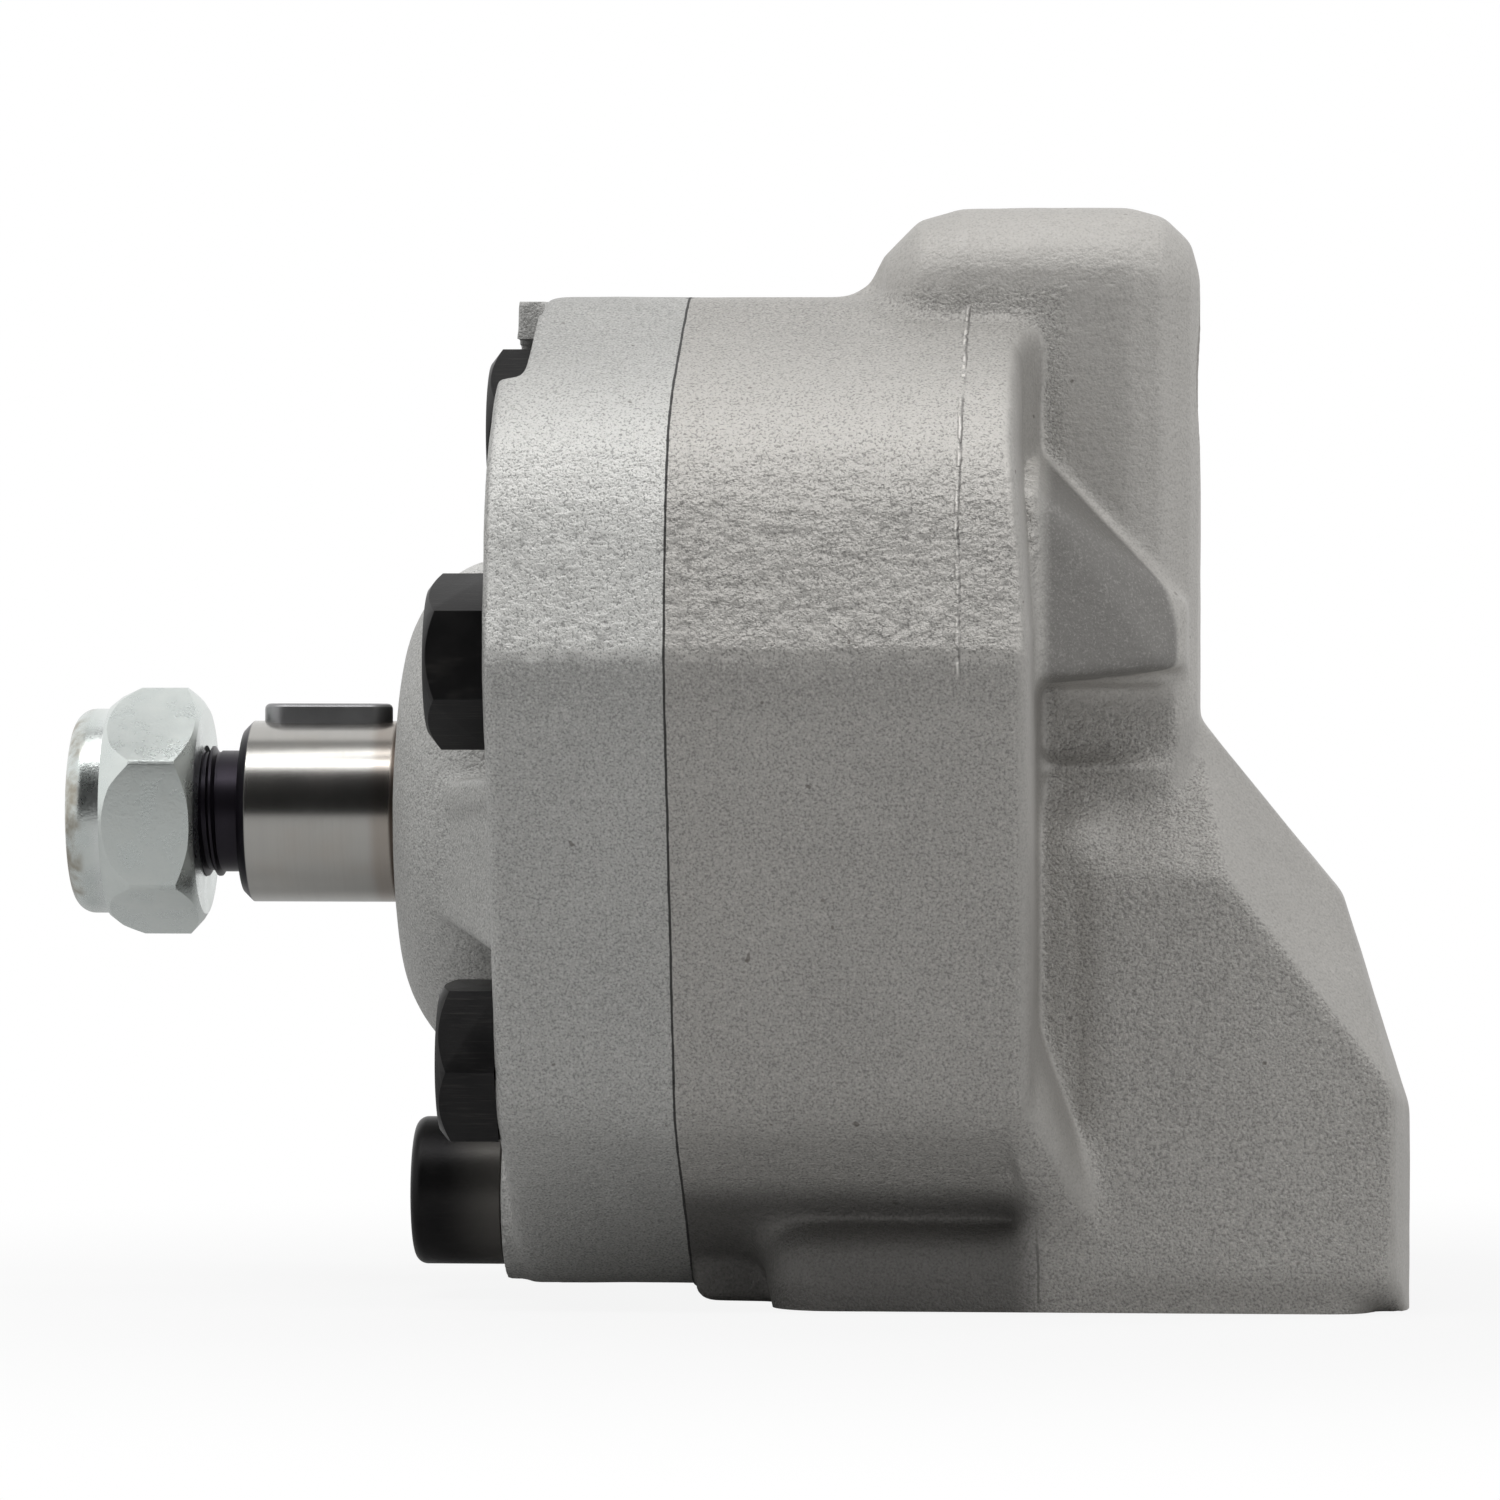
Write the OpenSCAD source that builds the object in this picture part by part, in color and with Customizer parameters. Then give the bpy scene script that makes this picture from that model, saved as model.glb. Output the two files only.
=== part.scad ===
// External gear pump with a cast body on a flat foot, a bolted cover, and a keyed drive shaft.
// Millimetres, +Z up. The origin is the centre of the foot's machined face.
// The shafts lie along X, with the shaft end towards -X. The drive shaft is on the +Y side.

/* [Gears] */
// Gear module
gear_module = 2.5; // [2.4:0.05:2.6]
// Teeth on each gear
gear_teeth = 11; // [11:1:11]
// Pressure angle of the teeth in degrees
pressure_angle = 27; // [25:0.5:28]
// Face width of the gears
gear_w = 16; // [14:0.5:18]
// Backlash of each gear at the pitch circle
backlash = 0.16; // [0.1:0.02:0.3]
// Gap between the tooth tips and the pocket wall
tip_gap = 0.3; // [0.3:0.05:0.5]
// Gap between a gear's side and its wear plate
side_gap = 0.05; // [0.05:0.01:0.1]

/* [Shafts] */
// Diameter of the shafts and their journals
shaft_d = 20; // [19.5:0.1:20.4]
// Ground length of the drive shaft ahead of the hub face
shaft_out = 18.1; // [17:0.1:22]
// Outside diameter of the threaded end
stub_d = 14.4; // [13:0.1:15]
// Diameter of the relief behind the thread
relief_d = 13.4; // [12.5:0.1:14]
// Length of the relief behind the thread
relief_l = 2.6; // [2:0.1:3.2]
// Length from the shoulder to the nut's bearing face
stub_gap = 4.4; // [4:0.1:5.5]
// Running clearance of the shafts in their bushes
run_gap = 0.05; // [0.02:0.01:0.08]
// Chamfer at the shaft shoulder
shaft_chamfer = 1; // [0.5:0.1:1.5]

/* [Key and nut] */
// Width of the shaft key
key_w = 5; // [4:0.5:6]
// Length of the shaft key
key_l = 14.2; // [10:0.1:15]
// Height that the key stands above the shaft
key_proud = 1.9; // [1.5:0.1:2.5]
// Depth of the keyway in the shaft
key_depth = 3; // [2.5:0.1:3.5]
// Gap between the key's end and the hub face
key_gap = 1.8; // [0.5:0.1:2.2]
// Width across the flats of the lock nut
nut_af = 24; // [22:0.5:25]
// Height of the lock nut's hexagon
nut_hex_h = 10.4; // [9:0.1:12]
// Height of the lock nut's rounded collar
nut_collar_h = 4; // [3.7:0.1:5]
// Thickness of the lock nut's insert
insert_t = 2.6; // [2:0.1:2.8]

/* [Bushes] */
// Wall of a bush
bush_wall = 2.5; // [2:0.1:2.8]
// Length of the two bushes in the cover
bush_front_l = 15; // [12:0.5:15.5]
// Length of the two bushes in the body
bush_rear_l = 11; // [9:0.5:11.5]
// Thickness of a wear plate
plate_t = 3; // [2.5:0.1:3.5]
// Radial clearance of the wear plates on the shafts
plate_gap = 0.4; // [0.35:0.05:0.6]
// Clearance of the wear plates in the pocket
plate_fit = 0.1; // [0.05:0.01:0.2]

/* [Shaft seals] */
// Outside diameter of the shaft seals
seal_d = 27; // [26:0.1:28]
// Width of each shaft seal
seal_w = 5; // [4:0.1:5.2]
// Width of the spacer between the two shaft seals
seal_spacer_w = 1; // [0.8:0.1:1.4]
// Thickness of the retaining ring
clip_t = 1.2; // [1:0.1:1.4]
// Depth of the retaining ring below the hub face
clip_set = 1; // [0.8:0.1:1.5]
// Width of the retaining ring's slot
clip_slot = 4; // [3:0.5:6]
// Gap between the lips and the shaft
lip_gap = 0.3; // [0.3:0.05:0.5]

/* [Cover] */
// Thickness of the cover at its side lobes
cover_t = 18.9; // [18:0.1:21]
// How far the cover's top is set back from the lobes
top_setback = 3; // [2:0.1:4]
// Height of the step between the lobes and the top, above the gear axes
lobe_top = 45.7; // [44:0.1:47]
// How far the raised pads stand above the lobes
pad_h = 1.5; // [1:0.1:2]
// Height of the hub above the lobes
hub_h = 14; // [13.6:0.1:16]
// Largest diameter of the hub
hub_d = 56; // [52:0.5:58]
// Diameter of the hub's flat face
hub_face_d = 30; // [29.5:0.1:32]
// Thickness of the ribs beside the hub
rib_t = 3; // [2:0.1:4]
// Rounding of the cover's front edge
cover_round = 1.6; // [1:0.1:3]

/* [Body] */
// Height of the gear axes above the foot
axis_h = 52.5; // [52:0.1:56]
// Width of the body and the cover
body_w = 92.5; // [90:0.5:96]
// Length of the body behind the joint with the cover
body_l = 37.4; // [36.5:0.1:39]
// How far the joint with the cover lies ahead of the foot
joint_ahead = 8; // [7:0.1:9]
// Rounding of the body's rear edge
body_round = 2; // [1:0.1:3]

/* [Foot] */
// Length of the foot
foot_l = 69; // [67:0.5:71]
// Width of the foot
foot_w = 42; // [40:0.5:44]
// Thickness of the foot's flange
foot_t = 8.5; // [8.5:0.5:10]
// Radius of the foot's corners
foot_corner = 5; // [4:0.5:6]
// Spacing of the foot's holes along X
foot_hole_x = 50; // [48:0.5:51]
// Spacing of the foot's holes along Y
foot_hole_y = 23; // [22:0.5:24]
// Tapping diameter of the foot's holes
foot_hole_d = 6.8; // [6:0.1:7]
// Depth of the foot's holes
foot_hole_deep = 8; // [7:0.5:8]

/* [Ports] */
// Diameter of the inlet port
inlet_d = 22; // [20:0.5:24]
// Threaded depth of the inlet port
inlet_deep = 16; // [12:0.5:18]
// Height of the inlet port above the gear axes
inlet_h = 46; // [45:0.1:47]
// Diameter of the inlet passage
inlet_pass_d = 14; // [12:0.5:14]
// Diameter of the outlet port
outlet_d = 14; // [12:0.5:16]
// Depth of the outlet port
outlet_deep = 14; // [10:0.5:18]
// Diameter of the outlet passage
outlet_pass_d = 11; // [9:0.5:11]
// Half the width of the inlet boss
boss_half_w = 18; // [17:0.1:19]
// Height of the inlet boss above the gear axes
boss_top = 64.9; // [64:0.1:66]
// Distance from the joint to the rear face of the inlet boss
boss_rear = 54.4; // [53:0.1:56]

/* [Fasteners] */
// Diameter of the cover's fasteners
screw_d = 10; // [9:0.5:10]
// Width across the flats of a bolt head
bolt_af = 16; // [15:0.5:17]
// Height of a bolt head
bolt_head_h = 6.4; // [6:0.1:7]
// Diameter of the cap screw's head
cap_d = 16; // [15:0.5:16]
// Height of the cap screw's head
cap_h = 10; // [9:0.1:10.5]
// Width of the cap screw's socket
cap_socket = 8; // [6:0.5:9]
// Length of thread that the fasteners have in the body
grip_l = 16; // [12:0.5:17]
// Radial clearance of the fasteners in the cover
hole_gap = 0.5; // [0.3:0.1:0.6]
// Diameter of the dowel pins
dowel_d = 5; // [4:0.5:5]
// Length of the dowel pins
dowel_l = 12; // [10:0.5:14]
// Section of the cover's seal ring
ring_d = 2; // [1.8:0.1:2.2]
// Wall between the gear pocket and the seal groove
ring_wall = 2; // [1.8:0.1:2.2]

/* [Hidden] */
$fn = 96;
eps = 0.01;

// Gears
pitch_r = gear_module * gear_teeth / 2;
half_cd = pitch_r;
base_r = pitch_r * cos(pressure_angle);
tip_r = pitch_r + gear_module;
root_r = pitch_r - 1.2 * gear_module;
pocket_r = tip_r + tip_gap;
gear_span = gear_w + 2 * side_gap;
pocket_deep = gear_span + 2 * plate_t;

// Stations along X, from the shaft end to the rear
joint_x = -foot_l / 2 - joint_ahead;
lobe_x = joint_x - cover_t;
top_x = lobe_x + top_setback;
hub_x = lobe_x - hub_h;
shoulder_x = hub_x - shaft_out;
nut_x = shoulder_x - stub_gap;
stub_x = nut_x - nut_hex_h - nut_collar_h + 0.6;
gear_x = joint_x + plate_t + side_gap;
pocket_x = joint_x + pocket_deep;
rear_x = joint_x + body_l;
boss_rear_x = joint_x + boss_rear;

// Radii that pieces share
shaft_r = shaft_d / 2;
bush_in_r = shaft_r + run_gap;
bush_out_r = shaft_r + bush_wall;
screw_r = screw_d / 2;
seal_r = seal_d / 2;
hub_r = hub_d / 2;
spot_r = bolt_af / sqrt(3) + 0.8;

// Fastener places on the joint face, as [y, height above the gear axes]
top_bolt_at = [0, 41.2];
cap_at = [0, -41];
side_at_r = 11;
side_at = [body_w / 2 - side_at_r, 16];
upper_at = [side_at.x - 5.25, 29];
low_at = [22.25, -26];
low_at_r = 9.7;
side_bolts_at = [side_at, low_at, [-side_at.x, side_at.y], [-low_at.x, low_at.y]];
dowels_at = [[-upper_at.x, -17.5], [upper_at.x, 31]];

// Round corners of the casting's outline, as [y, height, radius], anticlockwise
outline = [[0, -41, 10], [low_at.x, low_at.y, low_at_r], [side_at.x, side_at.y, side_at_r],
    [upper_at.x, upper_at.y, 16], [8, 40, 15.5], [-8, 40, 15.5], [-upper_at.x, upper_at.y, 16],
    [-side_at.x, side_at.y, side_at_r], [-low_at.x, low_at.y, low_at_r]];
top_pad_r = outline[4].y + outline[4].z - top_bolt_at.y;
boss_corner = 9.5;
boss_outline = [[boss_half_w - boss_corner, -20, boss_corner],
    [boss_half_w - boss_corner, boss_top - boss_corner, boss_corner],
    [boss_corner - boss_half_w, boss_top - boss_corner, boss_corner],
    [boss_corner - boss_half_w, -20, boss_corner]];

// Passages, as heights above the gear axes
inlet_pass_h = 16;
outlet_pass_h = -14.5;
riser_x = joint_x + 31;
outlet_x = joint_x + 50;
ring_in_r = pocket_r + ring_wall;
plate_ring_w = 1.6;

// Angle of the outward normal on the tangent from circle a to circle b
function tangent(a, b) =
    atan2(b.y - a.y, b.x - a.x) - 90 + asin((a.z - b.z) / norm([b.x - a.x, b.y - a.y]));

// Closed outline round a ring of circles, drawn in by inset
function rim(c, inset = 0, steps = 6) = [
    for (i = [0 : len(c) - 1])
        let (before = c[(i + len(c) - 1) % len(c)], here = c[i], after = c[(i + 1) % len(c)])
        let (start = tangent(before, here), sweep = (tangent(here, after) - start + 720) % 360)
        for (k = [0 : steps])
            let (a = start + sweep * k / steps, r = here.z - inset)
            [here.x + r * cos(a), here.y + r * sin(a)]
];

// Involute tooth maths
function involute_at(r) = let (a = acos(base_r / r)) tan(a) - a * PI / 180;
function half_tooth(r) =
    (PI / 2 * gear_module - backlash) / (2 * pitch_r) * 180 / PI
    + (involute_at(pitch_r) - involute_at(r)) * 180 / PI;
function polar(r, a) = [r * cos(a), r * sin(a)];

// Outline of a gear whose first tooth points along -Y
function gear_outline(steps = 7) = [
    for (i = [0 : gear_teeth - 1])
        let (mid = i * 360 / gear_teeth + 180, foot_half = half_tooth(base_r) + 1.5)
        each concat(
            [polar(root_r, mid - foot_half - 2), polar(root_r + 0.5, mid - foot_half)],
            [for (k = [0 : steps]) let (r = base_r + (tip_r - base_r) * k / steps)
                polar(r, mid - half_tooth(r))],
            [polar(tip_r, mid)],
            [for (k = [steps : -1 : 0]) let (r = base_r + (tip_r - base_r) * k / steps)
                polar(r, mid + half_tooth(r))],
            [polar(root_r + 0.5, mid + foot_half), polar(root_r, mid + foot_half + 2)])
];

// Turns a flat shape into the Y-Z plane at station x, extruded along +X
module along_x(x) {
    translate([x, 0, 0])
        rotate([90, 0, 90])
            children();
}

// Same, with the height measured from the gear axes
module from_axes(x) {
    translate([0, 0, axis_h])
        along_x(x)
            children();
}

// A round bar or hole along X
module bar(x0, x1, r, y = 0, h = 0) {
    translate([x0, y, axis_h + h])
        rotate([0, 90, 0])
            cylinder(h = x1 - x0, r = r);
}

// A round tube along X
module tube(x0, x1, r_out, r_in, y = 0) {
    difference() {
        bar(x0, x1, r_out, y);
        bar(x0 - 1, x1 + 1, r_in, y);
    }
}

// Block with a rounded convex outline, its two end edges rounded by r0 and r1
module soft_block(c, x0, x1, r0 = 0, r1 = 0) {
    start = r0 > 0 ? [0 : 30 : 90] : [90];
    end = r1 > 0 ? [90 : -30 : 0] : [90];
    // Each ring is [station along X, inset]
    rings = concat(
        [for (a = start) [x0 + r0 * (1 - cos(a)), r0 * (1 - sin(a))]],
        [for (a = end) [x1 - r1 * (1 - cos(a)), r1 * (1 - sin(a))]]);
    count = len(rim(c));
    last = len(rings) - 1;
    points = [for (ring = rings) each [for (p = rim(c, ring.y)) [ring.x, p.x, p.y + axis_h]]];
    walls = [for (j = [0 : last - 1], i = [0 : count - 1])
        let (k = (i + 1) % count)
        [j * count + i, (j + 1) * count + i, (j + 1) * count + k, j * count + k]];
    caps = [[for (i = [0 : count - 1]) i], [for (i = [count - 1 : -1 : 0]) last * count + i]];
    polyhedron(points, concat(caps, walls));
}

// Side profile in X and height above the axes, extruded to a half width on both sides
module side_slab(points, half_w) {
    translate([joint_x, half_w, axis_h])
        rotate([90, 0, 0])
            linear_extrude(2 * half_w)
                polygon(points);
}

// Hexagonal prism along X
module hex_bar(x0, x1, af, y = 0, h = 0, turn = 0) {
    translate([x0, y, axis_h + h])
        rotate([0, 90, 0])
            rotate(turn)
                cylinder(h = x1 - x0, r = af / sqrt(3), $fn = 6);
}

// Round pocket that holds both gears
module gear_pocket(x0, x1, r) {
    for (side = [-1, 1])
        bar(x0, x1, r, side * half_cd);
}

// Ring round both gears, between two distances from their axes
module twin_ring(x0, x1, r_in, r_out) {
    from_axes(x0)
        linear_extrude(x1 - x0)
            difference() {
                polygon(rim([[-half_cd, 0, r_out], [half_cd, 0, r_out]], 0, 24));
                polygon(rim([[-half_cd, 0, r_in], [half_cd, 0, r_in]], 0, 24));
            }
}

module hub() {
    base = 5;
    face_r = hub_face_d / 2;
    rise = hub_h - 3.1;
    intersection() {
        translate([lobe_x + base, half_cd, axis_h])
            rotate([0, -90, 0])
                rotate_extrude()
                    polygon(concat([[0, 0], [hub_r, 0]],
                        [for (a = [0 : 9 : 90])
                            [face_r + (hub_r - face_r) * cos(a), base + hub_h - rise + rise * sin(a)]],
                        [[0, base + hub_h]]));
        from_axes(hub_x - 1)
            linear_extrude(hub_h + base + 2)
                polygon(rim(outline, 0.6));
    }
}

// Arm that spreads from the hub to the near lobe, with a thin rib along its top
module cover_arm() {
    reach = lobe_x - hub_x;
    hull() {
        translate([hub_x + 2, half_cd - 17, axis_h - 9])
            cube([reach, 17, 11.5]);
        translate([lobe_x, half_cd - hub_r - 12, axis_h - 15])
            cube([1, hub_r, 16.5]);
    }
    hull() {
        translate([hub_x + 1.2, half_cd - 15.5, axis_h + 3 - rib_t])
            cube([reach, 15, rib_t]);
        translate([lobe_x, half_cd - hub_r - 14, axis_h + 4 - rib_t])
            cube([1, hub_r, rib_t]);
    }
}

module front_cover() {
    color([0.68, 0.69, 0.69])
        difference() {
            union() {
                difference() {
                    soft_block(outline, lobe_x, joint_x, cover_round);
                    // The top is set back behind the side lobes
                    translate([lobe_x - 1, -hub_d, axis_h + lobe_top])
                        cube([top_setback + 1, 2 * hub_d, hub_d]);
                }
                // Raised pads of the top bolt and the cap screw
                bar(lobe_x - pad_h / 2, top_x + 1, top_pad_r, top_bolt_at.x, top_bolt_at.y);
                bar(lobe_x - pad_h, lobe_x + 1, cap_d / 2 + 1.6, cap_at.x, cap_at.y);
                hub();
                cover_arm();
            }
            // Bush bores, seal bore and shaft hole
            bar(joint_x - bush_front_l, joint_x + 1, bush_out_r, half_cd);
            bar(joint_x - bush_front_l, joint_x + 1, bush_out_r, -half_cd);
            bar(hub_x - 1, joint_x, shaft_r + 1, half_cd);
            bar(hub_x - 1, seal_end_x(), seal_r, half_cd);
            bar(clip_x(), clip_x() + clip_t, seal_r + 0.8, half_cd);
            // Fastener holes and their spot faces
            for (p = side_bolts_at)
                bar(lobe_x - 20, joint_x + 1, screw_r + hole_gap, p.x, p.y);
            for (p = [top_bolt_at, cap_at])
                bar(lobe_x - 20, joint_x + 1, screw_r + hole_gap, p.x, p.y);
            bar(lobe_x - 20, top_seat_x(), spot_r, top_bolt_at.x, top_bolt_at.y);
            // The pad of the top bolt is open towards the near side
            translate([lobe_x - pad_h - 1, -2 * spot_r, axis_h + top_bolt_at.y - spot_r / 2])
                cube([pad_h + 1 + top_seat_x() - lobe_x, 2 * spot_r, 3 * spot_r]);
            for (p = side_bolts_at)
                bar(hub_x - 1, lobe_x, spot_r, p.x, p.y);
            for (p = dowels_at)
                bar(joint_x - dowel_l / 2, joint_x + 1, dowel_d / 2, p.x, p.y);
            // Run-out below the driven shaft's end
            bar(joint_x - bush_front_l - 1.5, joint_x, shaft_r - 1, -half_cd);
        }
}

// Stations of the seal stack, from the hub face inwards
function clip_x() = hub_x + clip_set;
function seal_x() = clip_x() + clip_t;
function seal_end_x() = seal_x() + 2 * seal_w + seal_spacer_w;
function top_seat_x() = top_x;

// Side profile of the foot's block at its side face, then at its nose, then along its ridge
block_end = foot_l + joint_ahead;
block_side = [[43, -6.2], [57.5, -6.6], [block_end - 1.8, -29], [block_end - 1.8, -axis_h + 3],
    [43, -axis_h + 3]];
block_nose = [[38, 1.6], [55.8, 1.6], [block_end - 0.8, -30], [block_end - 0.8, -axis_h + 0.8],
    [38, -axis_h + 0.8]];
block_ridge = [[38, 5.5], [boss_rear, 10.5], [67.6, -7.3], [69.8, -8.5], [block_end, -31],
    [block_end, -axis_h], [38, -axis_h]];

module foot_block() {
    hull() {
        side_slab(block_side, foot_w / 2 + 0.2);
        side_slab(block_nose, foot_w / 2 - 5);
        side_slab(block_ridge, 9);
    }
}

// Flange under the body, fuller at its front corners, its sides facing slightly down
module flange_post(x, y, r) {
    translate([x, y, 0]) {
        cylinder(h = foot_t, r = r - 1.8, $fn = 32);
        translate([0, 0, foot_t - 3])
            cylinder(h = 1.8, r = r, $fn = 32);
    }
}

module foot_flange() {
    front_r = foot_corner + 3;
    hull()
        for (side = [-1, 1]) {
            flange_post(front_r - foot_l / 2, side * (foot_w / 2 - front_r), front_r);
            flange_post(foot_l / 2 - 3 - foot_corner, side * (foot_w / 2 - foot_corner), foot_corner);
        }
}

// Pad under the body's centre, ahead of the foot
module keel() {
    side_slab([[0.4, -axis_h + 7], [joint_ahead + 6, -axis_h + 7], [joint_ahead + 6, -axis_h],
        [1.6, -axis_h + 0.1], [0.4, -axis_h + 1.3]], 8);
}

// Shoulder between the back of the body and the inlet boss
module fairing() {
    hull() {
        side_slab([[body_l - 4, 40], [body_l, 39.2], [boss_rear - 1, 22.5], [boss_rear - 1, 15.5],
            [body_l - 4, 13.5]], boss_half_w - 1);
        side_slab([[body_l - 4, 34], [body_l, 34], [body_l, 14], [body_l - 4, 14]], 30);
        side_slab([[boss_rear - 5, 18], [boss_rear - 4, 16.5], [boss_rear - 4, 15.6],
            [boss_rear - 5, 15.5]], 22);
    }
}

// Flare at the front of the inlet boss, and the recess below its shoulder on each side
module boss_flare() {
    side_slab([[16, 54], [16, 55.2], [19, 56.8], [20.6, 60], [24, 60], [24, 54]],
        boss_half_w - boss_corner);
}

// Waist that leaves a thin ledge on the inlet boss, under the recess
module boss_waist() {
    for (side = [-1, 1])
        translate([rear_x - 2, side * (boss_half_w + 3) - 5, axis_h - 32])
            cube([boss_rear - body_l + 4, 10, 36.6]);
}

module side_recess() {
    for (side = [-1, 1])
        translate([rear_x + 0.2, side * 25.5 - 10, axis_h + 5.6])
            cube([boss_rear - body_l + 1, 20, 8.2]);
}

// Heel that carries the low lobes of the body into the foot's block
module heel() {
    hull() {
        for (side = [-1, 1])
            bar(rear_x - 2.4, rear_x - 1.8, low_at_r - 0.6, side * low_at.x, low_at.y - 0.5);
        side_slab([[body_l - 0.4, -42], [body_l + 7.4, -43], [body_l + 7.4, -46], [body_l - 0.4, -46]],
            foot_w / 2 - 0.6);
    }
}

// Neck that joins the body to the foot's block below the recess
module neck() {
    hull() {
        side_slab([[body_l - 2.5, 2], [45, 2], [50, -axis_h], [body_l + 1, -axis_h],
            [body_l - 2.5, -30]], 15.8);
        side_slab([[body_l - 2.5, -3.5], [47, -5], [50, -axis_h + 2], [body_l + 1, -axis_h + 2],
            [body_l - 2.5, -30]], 19.2);
    }
}

module pump_body() {
    color([0.62, 0.61, 0.58])
        difference() {
            union() {
                soft_block(outline, joint_x, rear_x, 0, body_round);
                difference() {
                    soft_block(boss_outline, joint_x + 20, boss_rear_x, 9, 7.5);
                    boss_waist();
                }
                boss_flare();
                fairing();
                foot_block();
                foot_flange();
                keel();
                heel();
                neck();
            }
            side_recess();
            gear_pocket(joint_x - 1, pocket_x, pocket_r);
            for (side = [-1, 1])
                bar(pocket_x - 1, pocket_x + bush_rear_l, bush_out_r, side * half_cd);
            // Inlet: port, riser and gallery to the suction side of the mesh
            bar(boss_rear_x - inlet_deep, boss_rear_x + 5, inlet_d / 2, 0, inlet_h);
            bar(riser_x - inlet_pass_d / 2, boss_rear_x, inlet_d / 2 - 2, 0, inlet_h);
            translate([riser_x, 0, axis_h + inlet_pass_h])
                cylinder(h = inlet_h - inlet_pass_h, d = inlet_pass_d);
            bar(joint_x + 5, riser_x + inlet_pass_d / 2, inlet_pass_d / 2, 0, inlet_pass_h);
            // Outlet: gallery from the pressure side, and port in the foot
            bar(joint_x + 5, outlet_x + outlet_pass_d / 2, outlet_pass_d / 2, 0, outlet_pass_h);
            translate([outlet_x, 0, -1])
                cylinder(h = axis_h + outlet_pass_h + 1, d = outlet_pass_d);
            translate([outlet_x, 0, -1])
                cylinder(h = outlet_deep + 1, d = outlet_d);
            outlet_groove(0);
            // Seal groove and threaded holes
            twin_ring(joint_x - 1, joint_x + ring_d, ring_in_r, ring_in_r + ring_d);
            for (p = concat(side_bolts_at, [top_bolt_at, cap_at]))
                bar(joint_x - 1, joint_x + grip_l + 2, screw_r, p.x, p.y);
            for (p = dowels_at)
                bar(joint_x - 1, joint_x + dowel_l / 2, dowel_d / 2, p.x, p.y);
            for (x = [-1, 1], y = [-1, 1])
                translate([x * foot_hole_x / 2, y * foot_hole_y / 2, -1])
                    cylinder(h = foot_hole_deep + 1, d = foot_hole_d);
        }
}

// Ring round the outlet port, cut from below the foot or kept inside it
module outlet_groove(keep) {
    ring_r = outlet_d / 2 + ring_wall;
    z0 = keep > 0 ? 0.15 : -1;
    translate([outlet_x, 0, z0])
        difference() {
            cylinder(h = ring_d - z0, r = ring_r + ring_d);
            translate([0, 0, -1])
                cylinder(h = ring_d - z0 + 2, r = ring_r);
        }
}

module toothed_gear(y) {
    translate([0, y, 0])
        from_axes(gear_x)
            linear_extrude(gear_w)
                polygon(gear_outline());
}

module drive_gear_shaft() {
    rear_end = pocket_x + bush_rear_l - 1;
    color([0.78, 0.77, 0.75])
        difference() {
            union() {
                toothed_gear(half_cd);
                bar(shoulder_x + shaft_chamfer, rear_end, shaft_r, half_cd);
                translate([shoulder_x, half_cd, axis_h])
                    rotate([0, 90, 0])
                        cylinder(h = shaft_chamfer, r1 = shaft_r - shaft_chamfer, r2 = shaft_r);
                bar(shoulder_x - relief_l - 1, shoulder_x + shaft_chamfer + 1, relief_d / 2, half_cd);
                bar(stub_x, shoulder_x - relief_l, stub_d / 2, half_cd);
            }
            keyway();
        }
}

// Round-ended slot that the key sits in
module keyway() {
    key_outline(axis_h + shaft_r - key_depth, key_depth + 5);
}

module key_outline(z, h) {
    x1 = hub_x - key_gap;
    translate([0, half_cd, z]) {
        for (x = [x1 - key_l + key_w / 2, x1 - key_w / 2])
            translate([x, 0, 0])
                cylinder(h = h, d = key_w);
        translate([x1 - key_l + key_w / 2, -key_w / 2, 0])
            cube([key_l - key_w, key_w, h]);
    }
}

module shaft_key() {
    color([0.35, 0.35, 0.36])
        key_outline(axis_h + shaft_r - key_depth, key_depth + key_proud);
}

module driven_gear_shaft() {
    color([0.78, 0.77, 0.75])
        union() {
            toothed_gear(-half_cd);
            bar(joint_x - bush_front_l + 1, pocket_x + bush_rear_l - 1, shaft_r, -half_cd);
        }
}

module wear_plate(x) {
    difference() {
        gear_pocket(x, x + plate_t, pocket_r - plate_fit);
        gear_pocket(x - 1, x + plate_t + 1, shaft_r + plate_gap);
        // Relief grooves towards the mesh
        for (h = [outlet_pass_h + 1, inlet_pass_h - 1])
            bar(x - 1, x + plate_t + 1, 4.5, 0, h);
    }
}

module front_wear_plate() {
    color([0.72, 0.6, 0.35])
        difference() {
            wear_plate(joint_x);
            twin_ring(joint_x - 1, joint_x + plate_ring_w, pocket_r - 3.6, pocket_r - 2);
        }
}

module rear_wear_plate() {
    color([0.72, 0.6, 0.35])
        wear_plate(pocket_x - plate_t);
}

module plate_seal_ring() {
    color([0.1, 0.1, 0.1])
        difference() {
            intersection() {
                twin_ring(joint_x, joint_x + plate_ring_w, pocket_r - 3.6, pocket_r - 2);
                gear_pocket(joint_x, joint_x + plate_t, pocket_r - plate_fit);
            }
            for (h = [outlet_pass_h + 1, inlet_pass_h - 1])
                bar(joint_x - 1, joint_x + plate_t + 1, 4.5, 0, h);
        }
}

module bush(x, length, y) {
    color([0.6, 0.48, 0.3])
        tube(x, x + length, bush_out_r, bush_in_r, y);
}

module drive_bush_front() {
    bush(joint_x - bush_front_l, bush_front_l, half_cd);
}

module driven_bush_front() {
    bush(joint_x - bush_front_l, bush_front_l, -half_cd);
}

module drive_bush_rear() {
    bush(pocket_x, bush_rear_l, half_cd);
}

module driven_bush_rear() {
    bush(pocket_x, bush_rear_l, -half_cd);
}

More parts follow.
